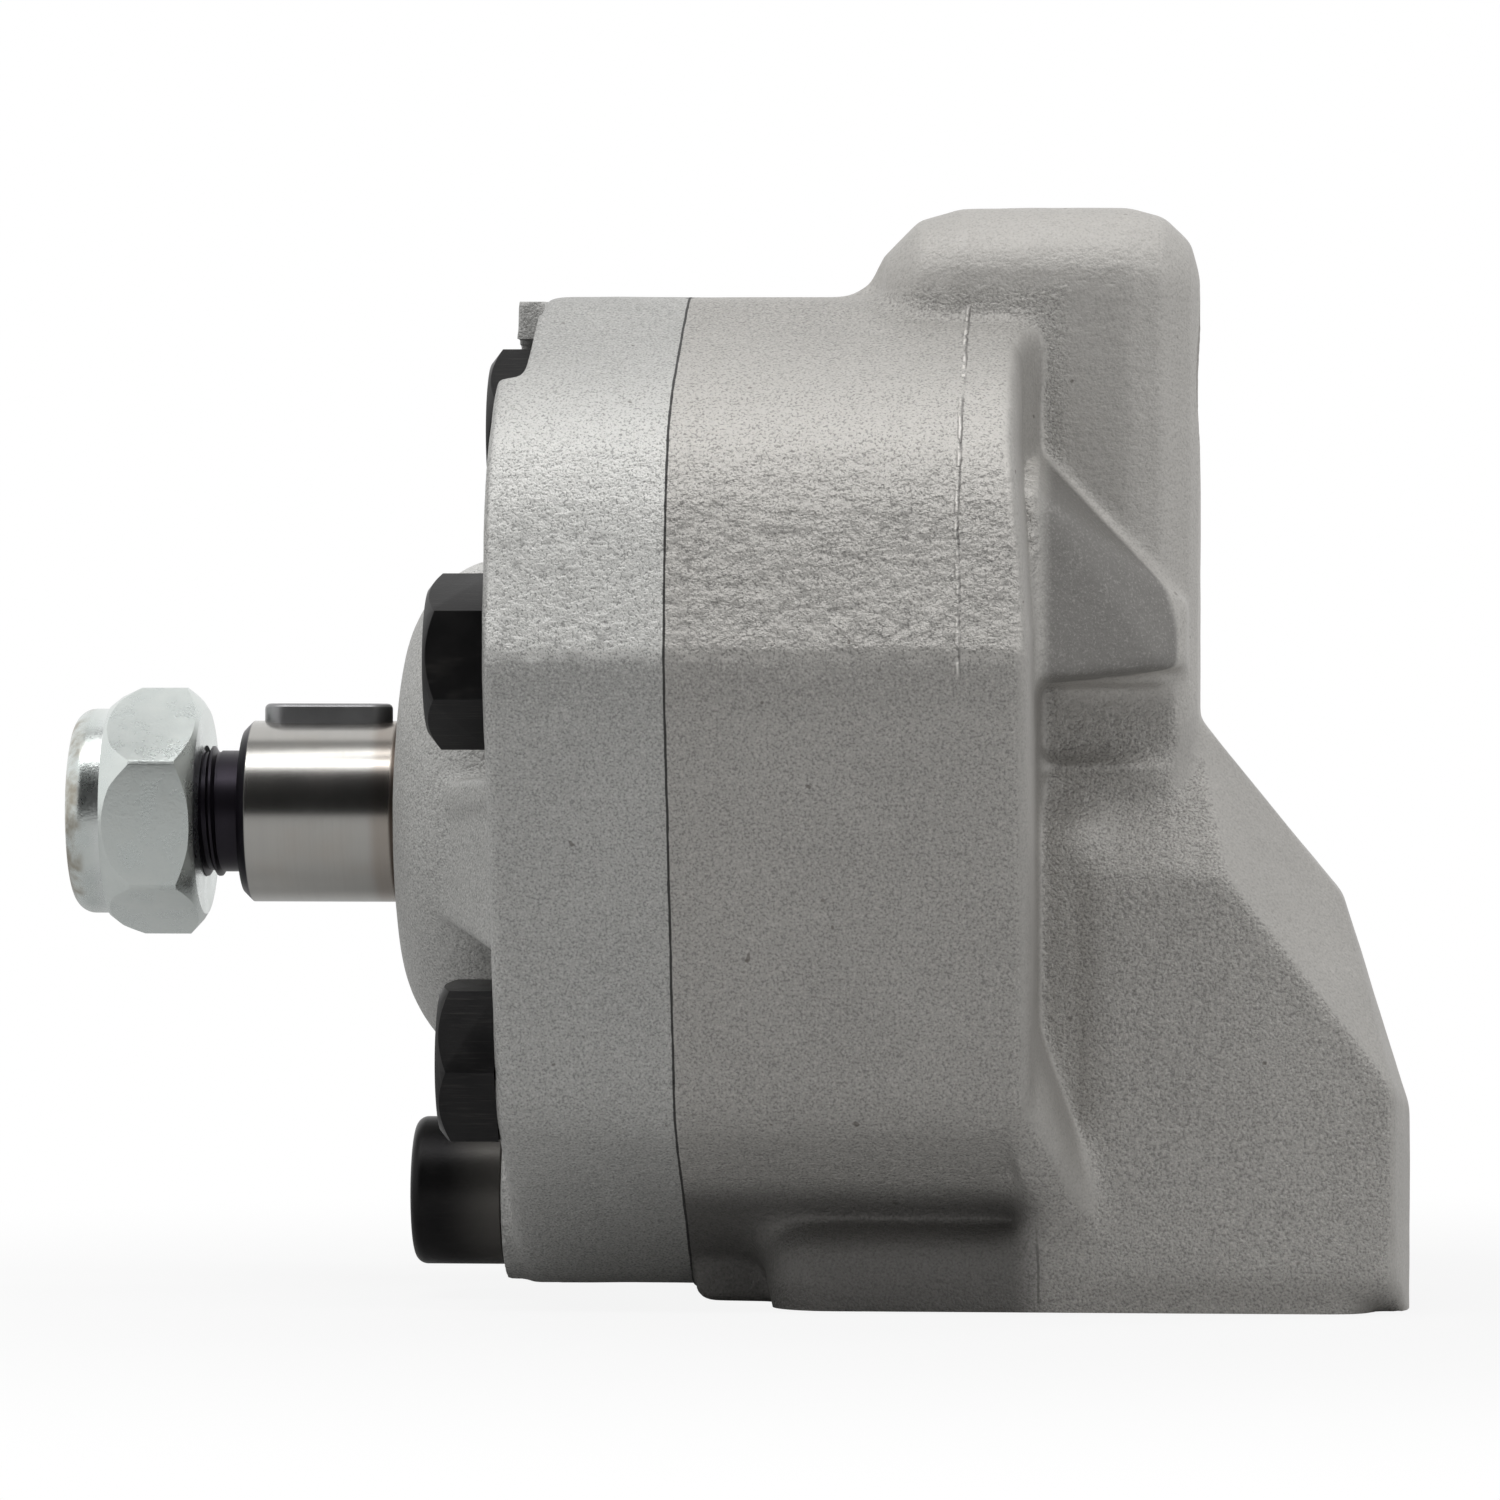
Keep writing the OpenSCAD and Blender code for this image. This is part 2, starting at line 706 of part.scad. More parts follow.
// Lip seal: a cup with an inner lip that points inwards
module lip_seal(x) {
    lip_r = shaft_r + lip_gap;
    translate([x, half_cd, axis_h])
        rotate([0, 90, 0])
            rotate_extrude()
                polygon([[lip_r + 0.8, 0], [seal_r, 0], [seal_r, seal_w], [seal_r - 0.8, seal_w],
                    [seal_r - 0.8, 1.2], [lip_r + 1.1, 1.2], [lip_r + 1.1, seal_w - 0.6],
                    [lip_r, seal_w - 1], [lip_r, seal_w - 1.6]]);
}

module inner_shaft_seal() {
    color([0.12, 0.12, 0.12])
        lip_seal(seal_x() + seal_w + seal_spacer_w);
}

module outer_shaft_seal() {
    color([0.12, 0.12, 0.12])
        lip_seal(seal_x());
}

module seal_spacer() {
    color([0.6, 0.6, 0.6])
        tube(seal_x() + seal_w, seal_x() + seal_w + seal_spacer_w, seal_r, shaft_r + 1.2, half_cd);
}

// Spring ring in the hub's groove, open at the bottom
module retaining_ring() {
    color([0.3, 0.3, 0.3])
        difference() {
            tube(clip_x(), clip_x() + clip_t, seal_r + 0.7, seal_r - 1.6, half_cd);
            translate([clip_x() - 1, half_cd - clip_slot / 2, axis_h - seal_r - 3])
                cube([clip_t + 2, clip_slot, seal_r]);
        }
}

module cover_seal_ring() {
    color([0.1, 0.1, 0.1])
        twin_ring(joint_x, joint_x + ring_d, ring_in_r, ring_in_r + ring_d);
}

module outlet_seal_ring() {
    color([0.1, 0.1, 0.1])
        outlet_groove(1);
}

module dowel_pins() {
    color([0.7, 0.7, 0.72])
        for (p = dowels_at)
            bar(joint_x - dowel_l / 2, joint_x + dowel_l / 2, dowel_d / 2, p.x, p.y);
}

// Hexagon-head bolt with a chamfered head, its seat at station x
module hex_bolt(x, p, turn) {
    intersection() {
        hex_bar(x - bolt_head_h, x, bolt_af, p.x, p.y, turn);
        translate([x - bolt_head_h, p.x, axis_h + p.y])
            rotate([0, 90, 0])
                cylinder(h = bolt_head_h, r1 = bolt_af / 2 - 0.4, r2 = bolt_af / 2 + 6);
    }
    bar(x - bolt_head_h / 2, joint_x + grip_l, screw_r - 0.1, p.x, p.y);
}

module side_bolts() {
    color([0.08, 0.08, 0.08])
        for (p = side_bolts_at)
            hex_bolt(lobe_x, p, p.y > 0 ? 4 : -10);
}

module top_bolt() {
    color([0.08, 0.08, 0.08])
        hex_bolt(top_seat_x(), top_bolt_at, 12);
}

module cap_screw() {
    seat = lobe_x - pad_h;
    color([0.08, 0.08, 0.08])
        difference() {
            union() {
                bar(seat - cap_h + 1, seat, cap_d / 2, cap_at.x, cap_at.y);
                translate([seat - cap_h, cap_at.x, axis_h + cap_at.y])
                    rotate([0, 90, 0])
                        cylinder(h = 1, r1 = cap_d / 2 - 1, r2 = cap_d / 2);
                bar(seat - 1, joint_x + grip_l, screw_r - 0.1, cap_at.x, cap_at.y);
            }
            hex_bar(seat - cap_h - 1, seat - cap_h / 2, cap_socket, cap_at.x, cap_at.y);
        }
}

module lock_nut() {
    collar_r = nut_af / 2 - 0.7;
    top = nut_x - nut_hex_h;
    end = top - nut_collar_h;
    color([0.75, 0.78, 0.8])
        difference() {
            union() {
                intersection() {
                    hex_bar(top, nut_x, nut_af, half_cd, 0, 7);
                    translate([top, half_cd, axis_h])
                        rotate([0, 90, 0])
                            cylinder(h = nut_hex_h, r1 = collar_r, r2 = nut_af / 2 + 16);
                    translate([top, half_cd, axis_h])
                        rotate([0, 90, 0])
                            cylinder(h = nut_hex_h, r1 = nut_af / 2 + 8, r2 = nut_af / 2 - 0.6);
                }
                translate([end, half_cd, axis_h])
                    rotate([0, 90, 0])
                        rotate_extrude()
                            polygon(concat([[0, 0]],
                                [for (a = [0 : 15 : 90])
                                    [collar_r - 2 + 2 * sin(a), 2 - 2 * cos(a)]],
                                [[collar_r, nut_collar_h + 0.5], [0, nut_collar_h + 0.5]]));
            }
            bar(end - 1, nut_x + 1, stub_d / 2, half_cd);
            bar(end + 0.8, end + 0.8 + insert_t, collar_r - 2, half_cd);
        }
}

module lock_nut_insert() {
    end = nut_x - nut_hex_h - nut_collar_h;
    color([0.75, 0.73, 0.66])
        tube(end + 0.8, end + 0.8 + insert_t, nut_af / 2 - 2.7, stub_d / 2, half_cd);
}

front_cover();
pump_body();
drive_gear_shaft();
driven_gear_shaft();
front_wear_plate();
rear_wear_plate();
drive_bush_front();
driven_bush_front();
drive_bush_rear();
driven_bush_rear();
inner_shaft_seal();
seal_spacer();
outer_shaft_seal();
retaining_ring();
cover_seal_ring();
plate_seal_ring();
dowel_pins();
side_bolts();
top_bolt();
cap_screw();
shaft_key();
lock_nut();
lock_nut_insert();
outlet_seal_ring();
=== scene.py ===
"""Dressed model of a cast gear pump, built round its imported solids.

The solids give the main stations. The two castings are copied from their solids, softened
the way sand-cast skins are, and cut crisp again where they are machined. Fasteners, the lock
nut, the key and the thread are modelled anew, and every piece gets a procedural finish.
"""
import logging
import math
from contextlib import contextmanager
from dataclasses import dataclass
from enum import Enum
from typing import Iterable, Iterator, Sequence

import bpy
import numpy as np
from mathutils import Matrix, Vector, noise


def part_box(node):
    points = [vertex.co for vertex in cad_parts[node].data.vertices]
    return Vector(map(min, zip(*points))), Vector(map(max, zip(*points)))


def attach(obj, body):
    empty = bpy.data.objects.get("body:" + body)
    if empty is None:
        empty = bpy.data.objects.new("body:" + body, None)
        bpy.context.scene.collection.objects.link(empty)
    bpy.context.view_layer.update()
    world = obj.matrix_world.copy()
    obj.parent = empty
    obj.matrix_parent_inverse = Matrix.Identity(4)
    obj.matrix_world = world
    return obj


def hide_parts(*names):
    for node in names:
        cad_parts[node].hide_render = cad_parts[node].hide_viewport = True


LOG = logging.getLogger("pump")
MM = 0.001

Colour = tuple[float, float, float]
Triple = tuple[float, float, float]
Ring = tuple[float, float]
Span = tuple[float, float]


class Shading(Enum):
    """Angle in degrees up to which a piece's faces are shaded as one."""

    CRISP = 13.0
    SOFT = 50.0


class Sock:
    """A shader socket that takes part in Python expressions."""

    def __init__(self, graph: "Graph", out: bpy.types.NodeSocket) -> None:
        """Keep the socket and its graph.

        Args:
            graph: The material's graph.
            out: The output socket that holds the value.
        """
        self.graph = graph
        self.out = out

    def _maths(self, operation: str, *values: "Sock | float") -> "Sock":
        """Add a Math node and return its result."""
        return self.graph.node("ShaderNodeMath", {"operation": operation}, dict(enumerate(values)))

    def __add__(self, other: "Sock | float") -> "Sock":
        """Return the sum."""
        return self._maths("ADD", self, other)

    def __radd__(self, other: float) -> "Sock":
        """Return the sum."""
        return self._maths("ADD", other, self)

    def __sub__(self, other: "Sock | float") -> "Sock":
        """Return the difference."""
        return self._maths("SUBTRACT", self, other)

    def __rsub__(self, other: float) -> "Sock":
        """Return the reflected difference."""
        return self._maths("SUBTRACT", other, self)

    def __mul__(self, other: "Sock | float") -> "Sock":
        """Return the product."""
        return self._maths("MULTIPLY", self, other)

    def __rmul__(self, other: float) -> "Sock":
        """Return the product."""
        return self._maths("MULTIPLY", other, self)

    def __truediv__(self, other: "Sock | float") -> "Sock":
        """Return the quotient."""
        return self._maths("DIVIDE", self, other)

    def __rtruediv__(self, other: float) -> "Sock":
        """Return the reflected quotient."""
        return self._maths("DIVIDE", other, self)

    def size(self) -> "Sock":
        """Return the absolute value."""
        return self._maths("ABSOLUTE", self)

    def larger(self, other: "Sock | float") -> "Sock":
        """Return the larger of two values."""
        return self._maths("MAXIMUM", self, other)

    def step(self, low: float, high: float) -> "Sock":
        """Return a smooth step from 0 at low to 1 at high, also where low is above high."""
        settings = {"interpolation_type": "SMOOTHSTEP", "clamp": True}
        return self.graph.node("ShaderNodeMapRange", settings,
                               {"Value": self, "From Min": low, "From Max": high})


class Graph:
    """Builds one material, or the world, from nodes."""

    def __init__(self, name: str, world: bpy.types.World | None = None) -> None:
        """Make an empty node tree with its output.

        Args:
            name: The name of a new material.
            world: The world to build instead.
        """
        self.owner = world or bpy.data.materials.new(name)
        self.owner.use_nodes = True
        self.nodes = self.owner.node_tree.nodes
        self.links = self.owner.node_tree.links
        self.nodes.clear()
        self.output = self.nodes.new("ShaderNodeOutputWorld" if world else "ShaderNodeOutputMaterial")

    def node(self, kind: str, settings: dict | None = None, values: dict | None = None,
             out: int | str = 0) -> Sock:
        """Add a node.

        Args:
            kind: The node's type.
            settings: Attributes of the node, set first.
            values: Values or links by socket name or number.
            out: The output to return.

        Returns:
            The chosen output, wrapped.
        """
        made = self.nodes.new(kind)
        for key, value in (settings or {}).items():
            setattr(made, key, value)
        for key, value in (values or {}).items():
            if isinstance(value, Sock):
                self.links.new(value.out, made.inputs[key])
            else:
                made.inputs[key].default_value = value
        return Sock(self, made.outputs[out])

    def place(self) -> Sock:
        """Return the point in object coordinates, in metres."""
        return self.node("ShaderNodeTexCoord", out="Object")

    def axis(self, point: Sock, letter: str) -> Sock:
        """Return one coordinate of a point."""
        return self.node("ShaderNodeSeparateXYZ", values={0: point}, out=letter)

    def seen(self) -> Sock:
        """Return 1 where the camera looks, straight or by a mirror or through glass, and 0 elsewhere."""
        camera, glossy, through = (self.node("ShaderNodeLightPath", out=f"Is {kind} Ray")
                                   for kind in ("Camera", "Glossy", "Transmission"))
        return camera.larger(glossy).larger(through)

    def wear(self) -> Sock:
        """Return how convex a point is: 0.5 on flat faces, more on edges, less in corners; read for worn
        edges and for painted shade in corners.
        """
        return self.node("ShaderNodeAttribute", {"attribute_name": "wear"}, out="Fac")

    def noise(self, point: Sock, grain_mm: float, detail: float = 2.0, rough: float = 0.5,
              stretch: Sequence[float] = (1, 1, 1)) -> Sock:
        """Return noise whose features are about grain_mm across.

        Args:
            point: The point to look up.
            grain_mm: Feature size in millimetres.
            detail: Octaves of finer noise.
            rough: Strength of the finer octaves.
            stretch: Scale along X, Y and Z, below 1 to draw the grain out.

        Returns:
            A value from 0 to 1 round 0.5.
        """
        moved = self.node("ShaderNodeMapping", values={"Vector": point, "Scale": tuple(stretch)})
        return self.node("ShaderNodeTexNoise", {"noise_dimensions": "3D"},
                         {"Vector": moved, "Scale": 1 / (grain_mm * MM), "Detail": detail,
                          "Roughness": rough})

    def mix(self, factor: Sock | float, first: Sock | Colour, second: Sock | Colour) -> Sock:
        """Return a colour between first and second."""
        ends = [end if isinstance(end, Sock) else (*end, 1.0) for end in (first, second)]
        return self.node("ShaderNodeMix", {"data_type": "RGBA"}, {0: factor, 6: ends[0], 7: ends[1]}, 2)

    def bump(self, height: Sock, distance_mm: float, under: Sock | None = None) -> Sock:
        """Return a normal bent by a height from 0 to 1 over distance_mm.

        Args:
            height: The height.
            distance_mm: Its full height in millimetres.
            under: The normal that it bends further.

        Returns:
            The normal.
        """
        values = {"Height": height, "Distance": distance_mm * MM, "Strength": 1.0}
        if under is not None:
            values["Normal"] = under
        return self.node("ShaderNodeBump", None, values)

    def finish(self, **values: Sock | float | tuple) -> bpy.types.Material:
        """Add the surface shader and return the material.

        Args:
            **values: Sockets of the shader by name, with underscores for spaces.

        Returns:
            The finished material.
        """
        named = {key.replace("_", " "): value for key, value in values.items()}
        shader = self.node("ShaderNodeBsdfPrincipled", None, named)
        return self.close(shader)

    def close(self, shader: Sock) -> bpy.types.Material | bpy.types.World:
        """Link the finished shader and return what it belongs to."""
        self.links.new(shader.out, self.output.inputs["Surface"])
        return self.owner


def shaded(tone: Colour, factor: float) -> Colour:
    """Return a tone made lighter or darker."""
    return tuple(min(1.0, channel * factor) for channel in tone)


@dataclass(frozen=True)
class Seam:
    """A parting line of the mould at one station, in metres."""

    x: float
    low: float
    high: float


class Coat:
    """A casting's finish in the making: where it is looked up, its tone and its normal."""

    def __init__(self, name: str) -> None:
        """Start the finish.

        Args:
            name: The material's name.
        """
        self.g = Graph(name)
        self.p = self.g.place()
        self.x, self.y, self.z = (self.g.axis(self.p, letter) for letter in "XYZ")
        self.facing = self.g.axis(self.g.node("ShaderNodeNewGeometry", out="Normal"), "X")
        self.edge = self.g.wear()
        self.tone: Sock | None = None
        self.normal: Sock | None = None

    def noise(self, grain_mm: float, detail: float = 2.0, rough: float = 0.5,
              stretch: Triple = (1, 1, 1)) -> Sock:
        """Return noise at the point, as Graph.noise does."""
        return self.g.noise(self.p, grain_mm, detail, rough, stretch)

    def paint(self, share: Sock, colour: Colour) -> None:
        """Lay a colour over the tone."""
        self.tone = self.g.mix(share, self.tone, colour)

    def dent(self, height: Sock, depth_mm: float) -> None:
        """Bend the normal by a height from 0 to 1 over depth_mm."""
        self.normal = self.g.bump(height, depth_mm, self.normal)


@dataclass(frozen=True)
class CastSkin:
    """Skin of a sand-cast and blasted aluminium piece.

    Places are in metres. A span gives the places where a patch is at 0 and at its full strength.
    """

    name: str
    tone: Colour
    grain_mm: float
    rough_lit_band: Span
    rough_depth_mm: float
    # The band's gain sets how much lighter the band is painted, as painted light.
    band_light_gain: float
    joint_x: float
    seams: tuple[Seam, ...] = ()
    grain_depth_mm: float = 0.34
    pale_gain: float = 1.35
    flank_x: Span = (-0.0035, -0.0055)
    boss_x: Span = (-0.004, -0.001)
    boss_z: Span = (0.06, 0.066)
    top_z: Span = (0.1065, 0.1095)
    worn_z: Span = (0.013, 0.017)
    flash_z: Span = (0.05, 0.06)

    def build(self) -> bpy.types.Material:
        """Build the material.

        Returns:
            The material, in metres of object space.
        """
        c = Coat(self.name)
        fine = c.noise(self.grain_mm, 2, 0.55)
        grain = c.noise(self.grain_mm * 2.8, 2, 0.6, (0.85, 1, 1))
        clouds = c.noise(13, 3, 0.55)
        flank = c.x.step(*self.flank_x) * c.facing.size().step(0.8, 0.5)
        boss = (c.x.step(*self.boss_x) * c.z.step(*self.boss_z)).larger(c.z.step(*self.top_z))
        coarse = 1 - boss.larger(c.facing.step(0.35, 0.5)) * 0.6

        c.tone = c.g.mix((clouds - 0.5) * 1.2 + 0.5, self._shade(0.9), self._shade(1.08))
        self._band(c, flank)
        self._patches(c, boss)
        c.paint(fine.step(0.5, 0.33) * coarse * 0.68, self._shade(0.5))
        c.paint(fine.step(0.52, 0.7) * coarse * 0.62, self._shade(self.pale_gain))
        c.paint(grain.step(0.42, 0.28) * coarse * 0.22, self._shade(0.5))
        self._wear(c, clouds)
        c.dent((grain * 0.6 + fine * 0.4) * coarse, self.grain_depth_mm)
        self._crinkle(c, flank)
        self._marks_and_shade(c)
        for seam in self.seams:
            self._seam(c, seam)
        gap = self._joint(c)
        return c.g.finish(Base_Color=c.tone, Metallic=0.62 - gap * 0.6, Roughness=grain * 0.2 + 0.5,
                          Normal=c.normal)

    def _shade(self, factor: float) -> Colour:
        """Return the tone made lighter or darker."""
        return shaded(self.tone, factor)

    def _patches(self, c: Coat, boss: Sock) -> None:
        """Lay nothing, as only the body has patches of painted light and shade."""

    def _marks_and_shade(self, c: Coat) -> None:
        """Lay nothing, as only the body has marks and painted shade of its own."""

    def _band(self, c: Coat, flank: Sock) -> None:
        """Paint light on the upper flank's rough band, where the top lamps catch its slope, and paint shade
        on the strip below the crease.

        Args:
            c: The finish.
            flank: Where the band may be.
        """
        low, high = self.rough_lit_band
        ragged = c.z + (c.noise(2.2, 3) - 0.5) * 0.0022
        band = ragged.step(low - 0.0007, low + 0.0013) * c.z.step(high + 0.02, high + 0.002) * flank
        below = c.z.step(low - 0.0075, low - 0.0015) * ragged.step(low + 0.0004, low - 0.0006) * flank
        # Painted light: the band above the crease is painted lighter where the top lamps fall.
        c.paint(band * 0.95, self._shade(self.band_light_gain))
        # Painted shade: the strip just below the crease is painted darker.
        c.paint(below * 0.2, self._shade(0.5))

    def _wear(self, c: Coat, clouds: Sock) -> None:
        """Add pits, rubbed spots and pale worn edges, and paint shade into concave corners.

        Args:
            c: The finish.
            clouds: Slow noise that thins the pits out.
        """
        pits = c.noise(1.0, 0).step(0.18, 0.12) * clouds.step(0.46, 0.56)
        c.paint(pits * 0.55, (0.08, 0.065, 0.05))
        rubs = c.noise(5, 2).step(0.6, 0.72) * c.noise(0.5, 2).step(0.48, 0.62)
        edges = c.edge.step(0.6, 0.95) * c.z.step(*self.worn_z)
        c.paint(edges * 0.3 + rubs * 0.25, self._shade(self.pale_gain))
        # Painted shade: concave corners are painted darker.
        c.paint(c.edge.step(0.4, 0.1) * 0.4, self._shade(0.5))

    def _crinkle(self, c: Coat, flank: Sock) -> None:
        """Add the crinkles that the mould left in the rough band.

        Args:
            c: The finish.
            flank: Where the crinkles may be.
        """
        low, high = self.rough_lit_band
        band = c.z.step(low, low + 0.0015) * c.z.step(high + 0.006, high - 0.005) * flank
        patch = c.noise(7, 2).step(0.3, 0.6) * 0.5 + 0.5
        folds = c.noise(1.3, 3, 0.62, (0.8, 1, 1))
        c.dent(folds * (band * patch * 0.93 + 0.07), self.rough_depth_mm)
        c.paint(folds.step(0.46, 0.3) * band * 0.4, self._shade(0.55))

    def _seam(self, c: Coat, seam: Seam) -> None:
        """Add one parting line: a fine crack, with a raised flash beside it on the upper flank that carries
        a painted highlight.

        Args:
            c: The finish.
            seam: The line's place.
        """
        off = c.x - seam.x + (c.noise(9, 2) - 0.5) * 0.0007 + (c.noise(1.3, 2) - 0.5) * 0.0003
        run = c.z.step(seam.low, seam.low + 0.002) * c.z.step(seam.high, seam.high - 0.002)
        flash = run * c.noise(2.4, 2).step(0.47, 0.56) * c.z.step(*self.flash_z)
        ridge = (off + 0.00016).size().step(0.00034, 0.0001) * flash
        c.dent(ridge, 0.3)
        # Painted highlight: the flash ridge is painted much lighter.
        c.paint(ridge * 0.7, self._shade(2.1))
        crack = off.size().step(0.0002, 0.00006) * run * c.noise(4, 2).step(0.3, 0.55)
        c.paint(crack * 0.6, self._shade(0.25))

    def _joint(self, c: Coat) -> Sock:
        """Add the dark joint line between cover and body.

        Args:
            c: The finish.

        Returns:
            Where the gap is.
        """
        off = (c.x - self.joint_x + (c.noise(4, 3) - 0.5) * 0.00018).size()
        gap = (off - (c.noise(1.5, 2) - 0.5) * 0.00012).step(0.00017, 0.0001)
        nick = c.noise(2.6, 1).step(0.68, 0.74) * off.step(0.0006, 0.0003)
        c.paint(gap * 0.95 + nick * 0.6, (0.012, 0.011, 0.01))
        return gap


@dataclass(frozen=True)
class BodySkin(CastSkin):
    """Skin of the body, with painted light on the boss and painted shade in the hollow beside it and on the
    foot.
    """

    # Spans of the painted light on the boss and of the painted shade in the hollow and on the foot; the
    # drag spans place fine marks.
    lit_boss_y: Span = (0.0192, 0.0184)
    hollow_shade_x: Span = (-0.0046, -0.003)
    hollow_shade_y: Span = (0.0184, 0.0194)
    hollow_shade_low_z: Span = (0.055, 0.064)
    hollow_shade_high_z: Span = (0.1, 0.088)
    foot_shade_x: Span = (-0.003, -0.008)
    foot_shade_z: Span = (0.0145, 0.0105)
    drag_x: Span = (-0.005, -0.003)
    drag_z: Span = (0.07, 0.08)

    def _patches(self, c: Coat, boss: Sock) -> None:
        """Paint light on the boss and paint shade in the hollow beside it.

        Args:
            c: The finish.
            boss: Where the boss is.
        """
        side = c.y.size()
        # Painted light: the boss is painted lighter.
        c.paint(boss * side.step(*self.lit_boss_y) * 0.45, self._shade(self.pale_gain))
        # Painted shade: the hollow beside the boss is painted darker.
        hollow = side.step(*self.hollow_shade_y) * c.x.step(*self.hollow_shade_x) * c.z.step(*self.hollow_shade_low_z)
        c.paint(hollow * c.z.step(*self.hollow_shade_high_z) * 0.75, self._shade(0.4))

    def _marks_and_shade(self, c: Coat) -> None:
        """Paint shade on the foot's front part, and draw fine marks along the boss.

        Args:
            c: The finish.
        """
        # Painted shade: the foot's front part near the floor is painted much darker.
        c.paint(c.z.step(*self.foot_shade_z) * c.x.step(*self.foot_shade_x) * 0.72, self._shade(0.24))
        drag = c.noise(0.8, 3, 0.6, (0.16, 1, 1))
        c.dent(drag * (c.x.step(*self.drag_x) * c.z.step(*self.drag_z)), 0.06)


@dataclass(frozen=True)
class GroundSteel:
    """Ground steel, on the drive shaft with a dark band and a blackened thread end."""

    name: str
    bright: Colour
    black_before_x: float | None
    dark_from_x: float | None = None

    def build(self) -> bpy.types.Material:
        """Build the material.

        Returns:
            The material. Stations along X split it into its ground and black parts.
        """
        g = Graph(self.name)
        p = g.place()
        x = g.axis(p, "X")
        rings = g.noise(p, 0.12, 2, 0.6, (1, 0.004, 0.004))
        wide = g.noise(p, 1.4, 2, 0.5, (1, 0.02, 0.02))
        smear = g.noise(p, 7, 3)
        tone = g.mix(rings * 0.35 + wide * 0.35, self.bright, shaded(self.bright, 0.78))
        tone = g.mix(smear.step(0.5, 0.75) * 0.25, tone, (0.42, 0.36, 0.3))
        rough: Sock | float = rings * 0.1 + smear * 0.08 + 0.13
        metal: Sock | float = 1.0
        if self.black_before_x is not None:
            black = x.step(self.black_before_x + 0.0001, self.black_before_x - 0.0001)
            if self.dark_from_x is not None:
                near = x - self.dark_from_x + smear * 0.0004
                stain = near.step(0.0, 0.0004)
                tone = g.mix(near.step(-0.0026, -0.001) * 0.35, tone, (0.2, 0.13, 0.08))
                tone = g.mix(stain * 0.88, tone, (0.05, 0.035, 0.025))
                rough = rough + stain * 0.15
            oxide = g.mix(smear, (0.012, 0.011, 0.014), (0.03, 0.024, 0.036))
            tone = g.mix(black, tone, oxide)
            rough = rough + black * 0.14
            metal = 1.0 - black * 0.3
        normal = g.bump(rings, 0.004)
        return g.finish(Base_Color=tone, Metallic=metal, Roughness=rough, Normal=normal)


@dataclass(frozen=True)
class BlackOxide:
    """Blackened fastener steel with rubbed edges and light tool lines."""

    name: str
    tool_lines: float
    sheen: float

    def build(self) -> bpy.types.Material:
        """Build the material.

        Returns:
            The material.
        """
        g = Graph(self.name)
        p = g.place()
        blotch = g.noise(p, 3.5, 3)
        fine = g.noise(p, 0.25, 2, 0.6)
        lines = g.noise(p, 0.16, 2, 0.7, (0.03, 1, 0.05))
        edge = g.wear()
        tone = g.mix(blotch, (0.008, 0.008, 0.009), (0.022, 0.021, 0.021))
        tone = g.mix(lines.step(0.5, 0.8) * self.tool_lines, tone, (0.07, 0.066, 0.06))
        tone = g.mix(edge.step(0.6, 0.95) * 0.7, tone, (0.2, 0.19, 0.175))
        rough = blotch * 0.16 + fine * 0.1 + 0.26
        normal = g.bump(fine * 0.5 + lines * self.tool_lines, 0.02)
        return g.finish(Base_Color=tone, Metallic=0.7, Roughness=rough, Normal=normal,
                        Specular_IOR_Level=self.sheen)


@dataclass(frozen=True)
class ZincPlate:
    """Bluish zinc plate with a dull stain near the collar's end."""

    name: str
    stain_before_x: float

    def build(self) -> bpy.types.Material:
        """Build the material.

        Returns:
            The material.
        """
        g = Graph(self.name)
        p = g.place()
        x = g.axis(p, "X")
        blotch = g.noise(p, 4, 4, 0.6)
        fine = g.noise(p, 0.3, 2, 0.6)
        edge = g.wear()
        tone = g.mix(blotch, (0.57, 0.62, 0.61), (0.76, 0.79, 0.76))
        tone = g.mix(fine.step(0.6, 0.8) * 0.2, tone, (0.36, 0.4, 0.4))
        stain = x.step(self.stain_before_x, self.stain_before_x - 0.0012) * blotch.step(0.38, 0.62)
        tone = g.mix(stain * 0.7, tone, (0.22, 0.17, 0.1))
        tone = g.mix(edge.step(0.62, 0.95) * 0.4, tone, (0.86, 0.88, 0.88))
        rough = blotch * 0.22 + fine * 0.08 + 0.14
        normal = g.bump(blotch * 0.7 + fine * 0.3, 0.06)
        return g.finish(Base_Color=tone, Metallic=1.0, Roughness=rough, Normal=normal)


@dataclass(frozen=True)
class PlainMetal:
    """Machined metal with fine grain, for the key, bushes, plates and rings."""

    name: str
    tone: Colour
    roughness: float
    metallic: float = 1.0
    grain_mm: float = 0.3

    def build(self) -> bpy.types.Material:
        """Build the material.

        Returns:
            The material.
        """
        g = Graph(self.name)
        p = g.place()
        blotch = g.noise(p, 4, 3)
        fine = g.noise(p, self.grain_mm, 3, 0.6)
        tone = g.mix(blotch, shaded(self.tone, 0.75), shaded(self.tone, 1.15))
        tone = g.mix(fine.step(0.55, 0.8) * 0.3, tone, shaded(self.tone, 0.55))
        rough = blotch * 0.12 + fine * 0.1 + (self.roughness - 0.1)
        return g.finish(Base_Color=tone, Metallic=self.metallic, Roughness=rough,
                        Normal=g.bump(fine, 0.015))


